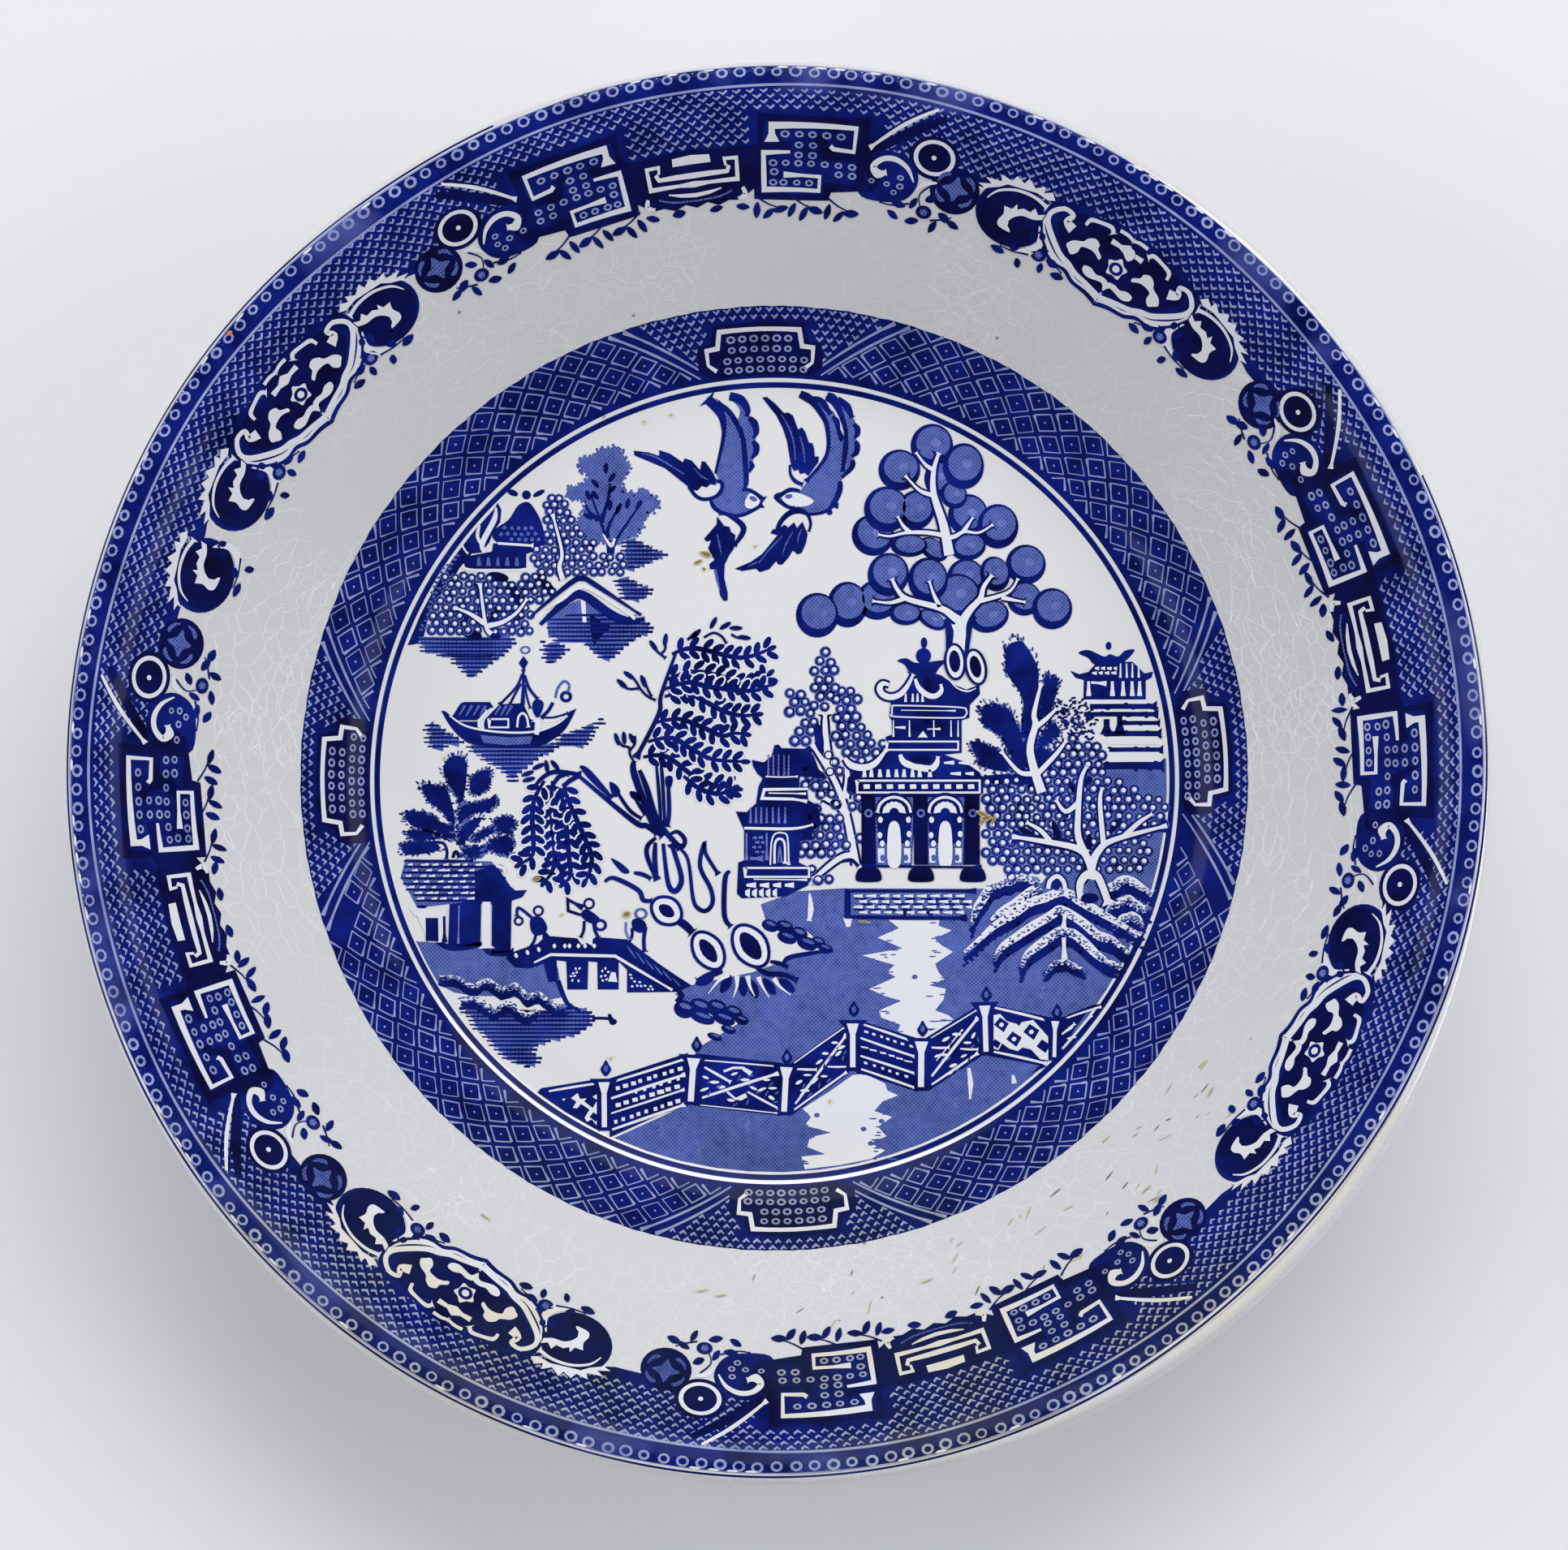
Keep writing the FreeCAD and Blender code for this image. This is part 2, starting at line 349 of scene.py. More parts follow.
def ink_material(name, dark, light, spread, grain=0.0, tea=(0.012, 0.018, 0.05)):
    """Cobalt ink under glaze: it pools darker and lighter, and mid tones are engraved as linen."""
    ink = Shader(name, dark, 0.12)
    pool = ink.noise(170, 3).above(0.5 - spread, 2 * spread)
    colour = ink.mix(pool, dark, light)
    colour = ink.mix(ink.noise(16, 2).above(0.5, 0.3) * 0.3, colour, light)
    if grain:
        x, y, _ = ink.node("ShaderNodeSeparateXYZ", {}, ink.place)
        threads = (x * 9600).math("SINE", x * 9600) * (y * 9600).math("SINE", y * 9600)
        weave = (threads + ink.noise(700, 2) * 1.8).above(1.05 - grain, 0.4)
        colour = ink.mix(weave * 0.45, colour, (0.20, 0.27, 0.64))
    _, upward, height = ink.node("ShaderNodeSeparateXYZ", {}, ink.place)
    # painted reflection: in noisy patches along the crest of the lip the ink is mixed toward a lighter violet
    # blue, a sheen painted into its colour
    painted_lip_sheen = height.above(0.0428, 0.0005) * ink.noise(42, 3).above(0.55, 0.14)
    colour = ink.mix(painted_lip_sheen * 0.45, colour, (0.13, 0.16, 0.45))
    low_side = upward.above(-0.05, -0.035)
    colour = ink.mix(low_side * ink.noise(50, 3).above(0.3, 0.3) * 0.6, colour, tea)
    ink.set("Base Color", colour)
    ink.set("Specular IOR Level", 0.07)
    return ink.material


reserve = Shader("Glaze over bare ground", (0.72, 0.74, 0.78), 0.12)
low_side = reserve.node("ShaderNodeSeparateXYZ", {}, reserve.place)[1].above(-0.055, -0.03)
tea = reserve.mix(low_side * reserve.noise(60, 3).above(0.4, 0.2) * 0.7, (0.72, 0.74, 0.78),
    (0.68, 0.64, 0.46))
reserve.set("Base Color", tea)
reserve.set("Specular IOR Level", 0.15)
INKS = {
    "dark": ink_material("Dark cobalt", (0.0006, 0.0020, 0.045), (0.0045, 0.014, 0.21), 0.22),
    "deep": ink_material("Deepest cobalt", (0.0016, 0.0012, 0.02), (0.0028, 0.006, 0.10), 0.2),
    "mid": ink_material("Engraved cobalt", (0.007, 0.015, 0.14), (0.030, 0.052, 0.30), 0.2, 0.75),
    "pale": ink_material("Thin cobalt", (0.05, 0.06, 0.30), (0.16, 0.19, 0.50), 0.2, 0.4),
    "haze": ink_material("Ink worn thin", (0.13, 0.17, 0.43), (0.37, 0.41, 0.62), 0.25, 0,
        (0.38, 0.37, 0.24)),
    "white": reserve.material,
}


def surface_height(radius):
    """The height of the upper surface, and the cosine of its slope, at a radius."""
    if radius <= FLOOR_RADIUS:
        return FLOOR_HEIGHT, 1.0
    if radius < FLOOR_RADIUS + FLOOR_FILLET * math.sin(WALL_SLOPE):
        cosine = math.sqrt(1 - ((radius - FLOOR_RADIUS) / FLOOR_FILLET) ** 2)
        return FILLET_CENTRE[1] - FLOOR_FILLET * cosine, cosine
    wall_end = section_point(LIP_CENTRE, -LIP_FILLET, WALL_SLOPE, 0)
    if radius < wall_end[0]:
        return wall_end[1] - (wall_end[0] - radius) * math.tan(WALL_SLOPE), math.cos(WALL_SLOPE)
    if radius < LIP_CENTRE[0] - LIP_FILLET * math.sin(LIP_SLOPE):
        cosine = math.sqrt(1 - ((LIP_CENTRE[0] - radius) / LIP_FILLET) ** 2)
        return LIP_CENTRE[1] + LIP_FILLET * cosine, cosine
    cosine = math.sqrt(1 - ((radius - RIM_CENTRE[0]) / (WALL_THICKNESS / 2)) ** 2)
    return RIM_CENTRE[1] + WALL_THICKNESS / 2 * cosine, cosine


def flat(point):
    return point


def spline(t, a, b, c, d):
    """One coordinate of a smooth curve through four values, between the second and the third."""
    return b + 0.5 * t * (c - a + t * (2 * a - 5 * b + 4 * c - d + t * (3 * (b - c) + d - a)))


def curve(points, closed=False, steps=5):
    """A smooth line through points."""
    count = len(points)
    last = count if closed else count - 1
    line = []
    for i in range(last):
        if closed:
            a, b, c, d = (points[(i + k) % count] for k in (-1, 0, 1, 2))
        else:
            a, b, c, d = (points[min(max(i + k, 0), count - 1)] for k in (-1, 0, 1, 2))
        for step in range(steps):
            line.append(tuple(spline(step / steps, a[k], b[k], c[k], d[k]) for k in (0, 1)))
    return line if closed else line + [points[-1]]


class Pen:
    """Draws flat marks in plan, then lays them on the dish, each level a hair above the last."""

    LEVEL_LIFT = 0.02
    MARK_LIFT = 0.0012
    MARKS_IN_TURN = 9

    def __init__(self):
        self.marks = {}
        self.count = 0
        self.place = flat
        self.inside = None
        self.use("dark", 1)

    def use(self, ink, level):
        self.ink = ink
        self.level = level
        return self

    def add(self, points, faces):
        self.count += 1
        lift = self.LEVEL_LIFT * self.level + self.MARK_LIFT * (self.count % self.MARKS_IN_TURN)
        self.marks.setdefault(self.ink, []).append((lift, points, faces))

    def fill(self, outline):
        """A shape with straight sides."""
        points = [self.place(p) for p in outline]
        self.add(points, tessellate_polygon([[Vector((*p, 0)) for p in points]]))

    def blob(self, outline, steps=4):
        """A shape with a smooth outline."""
        self.fill(curve(outline, True, steps))

    def oval(self, centre, rx, ry, turn=0.0, sides=14, pinch=0.0):
        """A filled oval; pinch draws its ends in to points, as on a leaf."""
        outline = []
        for i in range(sides):
            a = 2 * math.pi * i / sides
            x = rx * math.cos(a)
            y = ry * math.sin(a) * (1 - pinch * abs(math.cos(a)))
            outline.append(self.turned(centre, x, y, turn))
        points = [self.place(p) for p in [centre, *outline]]
        self.add(points, [(0, i, i % sides + 1) for i in range(1, sides + 1)])

    def hoop(self, centre, rx, ry, hole=0.55, turn=0.0, sides=12):
        """An oval ring."""
        points = []
        for i in range(sides):
            a = 2 * math.pi * i / sides
            for k in (1, hole):
                p = self.turned(centre, rx * k * math.cos(a), ry * k * math.sin(a), turn)
                points.append(self.place(p))
        count = 2 * sides
        faces = [(i, i + 1, (i + 3) % count, (i + 2) % count) for i in range(0, count, 2)]
        self.add(points, faces)

    @staticmethod
    def turned(centre, x, y, turn):
        c, s = math.cos(math.radians(turn)), math.sin(math.radians(turn))
        return (centre[0] + x * c - y * s, centre[1] + x * s + y * c)

    def stroke(self, points, width, smooth=True, steps=5):
        """A line whose width runs evenly through the widths given; it is left out where it isn't inside."""
        widths = width if isinstance(width, (list, tuple)) else [width]
        line = curve(points, False, steps) if smooth and len(points) > 2 else self.divided(points)
        line = [self.place(p) for p in line]
        runs = [[]]
        for i, p in enumerate(line):
            if self.inside and not self.inside(p):
                runs.append([])
                continue
            s = i / max(len(line) - 1, 1) * (len(widths) - 1)
            k = min(int(s), len(widths) - 2) if len(widths) > 1 else 0
            w = widths[k] + (widths[k + 1] - widths[k]) * (s - k) if len(widths) > 1 else widths[0]
            runs[-1].append((p, w))
        for run in runs:
            self.ribbon(run)

    @staticmethod
    def divided(points, length=2.0):
        """Straight lines with points added so that none is long."""
        line = [points[0]]
        for a, b in zip(points, points[1:]):
            parts = max(1, min(12, math.ceil(math.dist(a, b) / length)))
            for i in range(1, parts + 1):
                line.append((a[0] + (b[0] - a[0]) * i / parts, a[1] + (b[1] - a[1]) * i / parts))
        return line

    def ribbon(self, run):
        run = [r for i, r in enumerate(run) if i == 0 or math.dist(r[0], run[i - 1][0]) > 0.001]
        if len(run) < 2:
            return
        points = []
        for i, (p, w) in enumerate(run):
            before = run[max(i - 1, 0)][0] if i else run[0][0]
            after = run[min(i + 1, len(run) - 1)][0]
            a = Vector(p) - Vector(before)
            b = Vector(after) - Vector(p)
            a, b = (a or b).normalized(), (b or a).normalized()
            along = (a + b).normalized() if (a + b).length > 0.2 else b
            reach = w / 2 / max(along.dot(b), 0.45)
            side = Vector((-along.y, along.x)) * reach
            points += [tuple(Vector(p) + side), tuple(Vector(p) - side)]
        self.add(points, [(i, i + 1, i + 3, i + 2) for i in range(0, len(points) - 2, 2)])

    def band(self, start, end, inner, outer, rows, step=1.0):
        """A strip round the dish between two radii, which may be numbers or functions of the angle."""
        columns = max(1, round((end - start) / step))
        points = []
        for i in range(columns + 1):
            a = start + (end - start) * i / columns
            low = inner(a) if callable(inner) else inner
            high = outer(a) if callable(outer) else outer
            points += [self.place((a, low + (high - low) * k / rows)) for k in range(rows + 1)]
        n = rows + 1
        faces = [
            (i * n + k, i * n + k + 1, (i + 1) * n + k + 1, (i + 1) * n + k)
            for i in range(columns)
            for k in range(rows)
        ]
        self.add(points, faces)

    def lay(self, name, node):
        """Makes one piece of each ink, on the dish's upper surface."""
        for ink, marks in self.marks.items():
            vertices = []
            faces = []
            for lift, points, shape in marks:
                first = len(vertices)
                for x, y in points:
                    vertices.append((x, y, lift))
                for face in shape:
                    area = sum(
                        points[a][0] * points[b][1] - points[b][0] * points[a][1]
                        for a, b in zip(face, [*face[1:], face[0]])
                    )
                    if abs(area) > 1e-6:
                        face = [first + k for k in face]
                        faces.append(face if area > 0 else face[::-1])
            mesh = bpy.data.meshes.new(f"{name}.{ink}")
            mesh.from_pydata(vertices, [], faces)
            drape(mesh)
            piece = bpy.data.objects.new(f"{name}.{ink}", mesh)
            bpy.context.scene.collection.objects.link(piece)
            add_plan_map(piece)
            cover(piece, INKS[ink], "glaze" if ink == "white" else "ink", node)


def drape(mesh):
    """Divides the marks where the dish curves, then moves them from the plan on to its upper surface."""
    flat_radius, bend_end, bend_start = 60, 77, 104
    bent_edge, straight_edge = 1.3, 3.0
    shape = bmesh.new()
    shape.from_mesh(mesh)
    bmesh.ops.triangulate(shape, faces=shape.faces[:])
    for _ in range(5):
        long = []
        for edge in shape.edges:
            radius = max(v.co.xy.length for v in edge.verts)
            limit = bent_edge if radius > bend_start or radius < bend_end else straight_edge
            if radius > flat_radius and edge.calc_length() > limit:
                long.append(edge)
        if not long:
            break
        bmesh.ops.subdivide_edges(shape, edges=long, cuts=1)
        bmesh.ops.triangulate(shape, faces=[f for f in shape.faces if len(f.verts) > 3])
    for vertex in shape.verts:
        height, cosine = surface_height(vertex.co.xy.length)
        vertex.co = (vertex.co.x * MM, vertex.co.y * MM, (height + vertex.co.z / cosine) * MM)
    for face in shape.faces:
        face.smooth = True
    shape.to_mesh(mesh)
    shape.free()


PRINT_CENTRE = (-0.4, 0.5)
# where the strip was laid low: the middle of the dip in degrees, its depth, and its width in degrees
DIPS = ((134, 1.7, 27), (326, 1, 15), (44, 0.6, 18))


def round_dish(point):
    """A place in the border, from degrees clockwise from the top and radius, with the dips."""
    angle = math.radians(point[0])
    low = 0
    for middle, drop, width in DIPS:
        low += drop * math.exp(-((((point[0] - middle + 180) % 360 - 180) / width) ** 2))
    radius = point[1] - low * min(1, max(0, (point[1] - 92) / 20))
    return (PRINT_CENTRE[0] + radius * math.sin(angle), PRINT_CENTRE[1] + radius * math.cos(angle))


MEDALLIONS = (34.2, 118, 210.5, 308)
FRET_GROUPS = (78.4, 164.3, 255.3, 351.9)
random.seed(4)
border = Pen()
border.place = round_dish


def sided(anchor, side):
    """Degrees from an anchor, counted to one side of it."""

    def place(point):
        return round_dish((anchor + side * point[0], point[1]))

    return place


def nearest(angle, anchors):
    """How far an angle is from the nearest of some others, in degrees."""
    return min(abs((angle - a + 180) % 360 - 180) for a in anchors)


def ground_edge(angle):
    """The radius at which the printed ground stops, behind the ornaments that hang below it."""
    from_medallion = nearest(angle, MEDALLIONS)
    from_frets = nearest(angle, FRET_GROUPS)
    if from_medallion < 8:
        return 99.5
    if from_medallion < 15.5:
        return 100.8
    if from_frets < 20.5:
        return 97.5
    return 100.4


# the ground, its edge line, and the thin plain line above the lattice
border.use("dark", 1).band(0, 360, ground_edge, 110.2, 12)
border.use("dark", 1).band(0, 360, 110.2, lambda a: 113.5 + 0.1 * math.sin(math.radians(a * 17)), 5)
border.use("haze", 2).band(0, 360, 113.42, lambda a: 113.62 + 0.1 * math.sin(math.radians(a * 7)), 1)
border.use("dark", 1).band(66, 336, 113.9, 114.25, 1)


def plain_line(angle):
    return 110.3 + 0.25 * math.sin(math.radians(angle * 3 + 40)) + 0.12 * math.sin(math.radians(angle * 11))


border.use("haze", 2).band(0, 360, lambda a: plain_line(a) - 0.2, lambda a: plain_line(a) + 0.2, 1)

# beads round the lip: a worn pale ring each, with a dark eye, and a few white gaps outside them
for i in range(234):
    a = i * 360 / 234 + random.uniform(-0.08, 0.08)
    size = random.uniform(0.8, 1)
    border.use("haze", 2)
    border.hoop((a, 112.5 + random.uniform(-0.12, 0.12)), 0.58 * size, 0.95 * size,
        random.uniform(0.5, 0.64), sides=9)
    if random.random() < 0.25:
        border.use("white", 2).oval((a + 0.5, 113.3), 0.5, 0.22, sides=6)

# the lattice: rows of small bent marks between crossed dark lines
for row in range(13):
    radius = 109.6 - row * 0.8
    cells = 310
    for i in range(cells):
        a = (i + row % 2 * 0.5) * 360 / cells
        if radius < ground_edge(a) + 1.6 or nearest(a, FRET_GROUPS) < 17.5 and radius < 106.4:
            if nearest(a, FRET_GROUPS) > 5.4 or radius < 102.3:
                continue
        size = random.uniform(0.7, 1.1)
        border.use("haze", 2).stroke(
            [(a - 0.38 * size, radius + 0.16), (a, radius - 0.24 * size), (a + 0.34 * size, radius + 0.22)],
            [0.14, 0.42 * size, 0.28 * size, 0.16],
            smooth=False,
        )


def ringlets(pen, places, rx=0.43, ry=0.5):
    """Small worn rings with dark eyes, in rows."""
    for place in places:
        size = random.uniform(0.88, 1.06)
        pen.use("haze", pen.level)
        pen.hoop(place, rx * size, ry * size, 0.5, turn=random.uniform(-8, 8), sides=8)


def key_fret(pen):
    """A key of two hooked white lines on dark ground, filled with ringlets."""
    pen.use("deep", 3).fill([
        (6.3, 106.3), (16.4, 106.3), (16.4, 101.6), (17.6, 100.6), (18.2, 98.6), (17.6, 96.4), (13.4, 95.4),
        (13.2, 94.2), (5.8, 94.2), (5.8, 101.4), (6.3, 101.8),
    ])
    pen.use("dark", 4).fill([
        (6.9, 105.2), (15.6, 105.2), (15.6, 96.8), (12.6, 96.8), (12.6, 95), (6.4, 95),
    ])
    pen.use("deep", 5).stroke([(16.4, 101.1), (12.4, 101.2), (12.4, 102.6), (11.6, 102.6)], 0.9,
        smooth=False)
    pen.stroke([(15.8, 100.6), (12.4, 100.4)], 0.9, smooth=False)
    pen.stroke([(5.8, 101.5), (9.4, 101.6)], 0.7, smooth=False)
    pen.use("white", 6).stroke(
        [(13, 101.9), (13.3, 101.5), (15.2, 101.4), (15.2, 104.7), (7.6, 104.5), (7.6, 102.2)],
        [0.7, 0.5, 0.62, 0.8, 1, 1.1],
        smooth=False,
    )
    pen.stroke(
        [(9.3, 100.8), (6.8, 100.7), (6.8, 95.5), (12.2, 95.5), (12.2, 97.5), (8.7, 97.6)],
        [0.4, 0.75, 0.9, 0.62, 0.5, 0.4],
        smooth=False,
    )
    rows = {103.3: (13.9, 12.6, 11.3, 10.1, 8.8), 101.8: (11.4, 10.1), 100.4: (11.4, 10.1)}
    rows |= {99.25: (15.2, 13.9, 12.6, 11.3, 10.1, 8.9, 7.7), 98.0: (15.3, 14, 7.8),
        96.5: (11.2, 10, 8.7, 7.7)}
    ringlets(pen, [(a, r) for r, angles in rows.items() for a in angles])


def trough(pen):
    """The double U between two frets, with a bar above it and a lens below; drawn as one half."""
    pen.use("deep", 3).fill([(0, 101.9), (5.9, 101.7), (5.9, 95.8), (4.4, 94.2), (3.3, 94.3), (2.2, 93.7),
        (1.1, 94.3), (0, 93.7)])
    pen.use("white", 4).fill([(0, 101.2), (1.75, 101), (1.8, 99.9), (0, 99.9)])
    pen.stroke([(3.2, 99.2), (3.1, 100.2), (4.25, 100.2), (4.25, 97.2), (0, 97.05)],
        [0.4, 0.5, 0.7, 0.55, 0.4], smooth=False)
    pen.stroke([(0, 98.3), (3.3, 98.4), (3.5, 99.2)], [0.8, 0.7, 0.3], smooth=False)
    pen.stroke([(0, 95.5), (1.4, 95.7), (2.6, 96.1)], [0.6, 0.5, 0.1])
    pen.use("mid", 4).stroke([(0, 94.7), (2.2, 94.9), (3.6, 95.6)], [0.2, 0.3, 0.2])
    pen.use("white", 4).stroke([(4.7, 96), (4.9, 94.9), (4.2, 94.4)], [0.5, 0.9, 0.3])


def leaf(pen, a, r, length, turn):
    """A small hanging leaf; its turn is in degrees from lying along the border."""
    c, s = math.cos(math.radians(turn)), math.sin(math.radians(turn))
    width = random.uniform(0.48, 0.62)
    pen.stroke(
        [(a - length * c * 0.29, r - length * s * 0.5), (a, r),
            (a + length * c * 0.29, r + length * s * 0.5)],
        [0.12, width * 1.5, width * 2, width * 1.5, 0.12],
    )


def sprig(pen, points, leaves):
    """A thin stem with leaves by it."""
    pen.stroke(points, [0.3, 0.22, 0.16])
    for a, r, length, turn in leaves:
        leaf(pen, a, r, length, turn)


def rosette(pen, a, r):
    """A small dark flower with a pale star in it."""
    pen.use("dark", 6).oval((a, r), 0.8, 0.95)
    pen.use("pale", 7)
    for k in range(5):
        angle = math.radians(72 * k + 20)
        pen.stroke([(a, r), (a + 0.36 * math.cos(angle), r + 0.48 * math.sin(angle))], [0.12, 0.24])


def eye_disc(pen):
    """A white hoop round a dark disc with a dot, the scroll beside it and the bar that leans over both."""
    pen.use("deep", 3).oval((22.6, 102.7), 2.35, 3.05, sides=28)
    pen.use("white", 4).hoop((22.6, 102.7), 1.93, 2.5, 0.79, sides=28)
    pen.oval((22.55, 102.7), 0.24, 0.34, sides=8)
    pen.use("deep", 3).stroke([(22.9, 108.6), (19.8, 105.2), (16.4, 101.3)], [1, 1.5, 1.3])
    pen.use("white", 4).stroke([(22, 109.6), (19.4, 106.4), (16.6, 102.3)], [0.4, 0.62, 0.4])
    pen.use("dark", 3).blob(
        [(21.6, 99.2), (20.4, 101.7), (18.2, 102.4), (16.4, 101), (15.9, 98), (16.4, 95.4), (19.2, 95.2),
            (21, 96.4)]
    )
    pen.use("white", 5).stroke(
        [(21.2, 98.7), (20.4, 100.4), (19.2, 101.3), (18, 101.1), (17.2, 99.9), (17.7, 98.9), (18.5, 99.3)],
        [0.2, 0.6, 0.75, 0.75, 1, 1.3, 0.5],
    )
    ringlets(pen, [(19.9, 98.9), (20, 97.7), (18.7, 97.7), (17.2, 97.8), (19.5, 96.7)], 0.36, 0.42)
    pen.use("white", 5).stroke([(23.4, 99.4), (22.2, 98.8), (21.6, 97.6)], [0.2, 0.9, 0.2])
    pen.use("dark", 5)
    sprig(pen, [(22.9, 98.8), (22, 97), (22.6, 94.8)], [(23.2, 97, 2, 25), (21.6, 95.8, 1.9, 60)])
    sprig(pen, [(21.2, 95.6), (19.6, 94.9), (18.3, 95)], [(20.2, 95.2, 2.4, -5), (19.8, 93.6, 2.2, -25),
        (21.8, 93.3, 2.4, 12)])
    sprig(pen, [(23.6, 94), (24.8, 94.6), (25.6, 95.2)], [(24.9, 94.9, 2.4, -20), (25.9, 94.3, 2.4, -14),
        (24, 93.2, 2, 65)])
    rosette(pen, 22.8, 94.9)


def round_flower(pen):
    """A dark round flower with curved panels of engraved tone round a square."""
    pen.use("deep", 3).oval((0, 99), 2.4, 3.3, sides=24)
    pen.use("mid", 4).blob([(0, 101.1), (0.5, 99.9), (1.3, 99.2), (0.5, 98.6), (0, 97.5), (-0.5, 98.6),
        (-1.3, 99.2), (-0.5, 99.9)])
    for x, y in ((1, 1), (-1, 1), (1, -1), (-1, -1)):
        pen.blob([(x * 0.7, 99.2 + y * 1.9), (x * 1.35, 99.2 + y * 1.3), (x * 1.8, 99.2 + y * 0.5),
            (x * 1.7, 99.2 + y * 1.5), (x * 1.1, 99.2 + y * 2.2)])


def scroll_flower(pen):
    """A dark curled flower with a white flame in it, and a ruff of white leaf points behind."""
    pen.use("dark", 3).oval((11.2, 98.6), 3.6, 4.5, sides=28)
    pen.use("white", 4).fill([
        (14.8, 100.2), (14.2, 101), (13.3, 101.6), (12.6, 102.4), (9.8, 102.9), (8.6, 102.6), (8, 103),
        (8.5, 103.9), (9.2, 103.3), (9.3, 104.2), (10.1, 103.4), (10.9, 104.3), (11.2, 103.4), (12, 104),
        (12.3, 103.1), (13.4, 103.4), (13.2, 102.5), (14.7, 102.3), (14, 101.7), (15.2, 101.2),
        (14.6, 100.9),
    ])
    pen.use("deep", 5).oval((11.2, 98.3), 3.2, 4.2, sides=28)
    pen.use("white", 6).fill(
        curve([(12.2, 99.4), (12, 98.3), (12.3, 97.2), (12, 96.4), (10.7, 96.2), (11.2, 96.9)], steps=3)
        + curve([(11.3, 97.7), (10.9, 98.5), (10.2, 99.1), (9.2, 99.2), (8.4, 99.7)], steps=3)
        + [
            (8.3, 100.6), (8.9, 100.1), (9.4, 100.8), (9.7, 100), (10.4, 100.1), (10.9, 99.6),
            (11.1, 100.3), (11.4, 99.4),
        ],
    )
    pen.use("deep", 7).oval((10.2, 97.4), 0.95, 1.25)
    pen.stroke(
        [(10.8, 97), (10.5, 95.7), (11.6, 95.3), (12.7, 96.3), (12.9, 98.2)],
        [0.6, 0.9, 1, 0.9, 0.6],
    )
    pen.use("white", 6).stroke([(14, 99.6), (13.2, 101.1), (11.6, 102.1), (9.8, 102.2), (8.4, 101.6)],
        [0.16, 0.35, 0.4, 0.45, 0.6])
    pen.use("white", 6).blob([(8.4, 98.8), (8, 96.6), (8.8, 95), (10, 94.2), (9.2, 94), (7.8, 94.6),
        (7.3, 96.8)])
    pen.use("dark", 7)
    sprig(pen, [(8, 98.2), (8.5, 97), (8.3, 96)], [(8.6, 97.1, 1.5, 75), (7.7, 97.6, 1.3, 40)])
    sprig(pen, [(8.2, 94.4), (9.8, 93.9), (11.2, 93.9)], [(11.3, 93.3, 2.6, 6), (8.9, 92.6, 1.5, 50),
        (9.8, 94.5, 1.8, -10)])


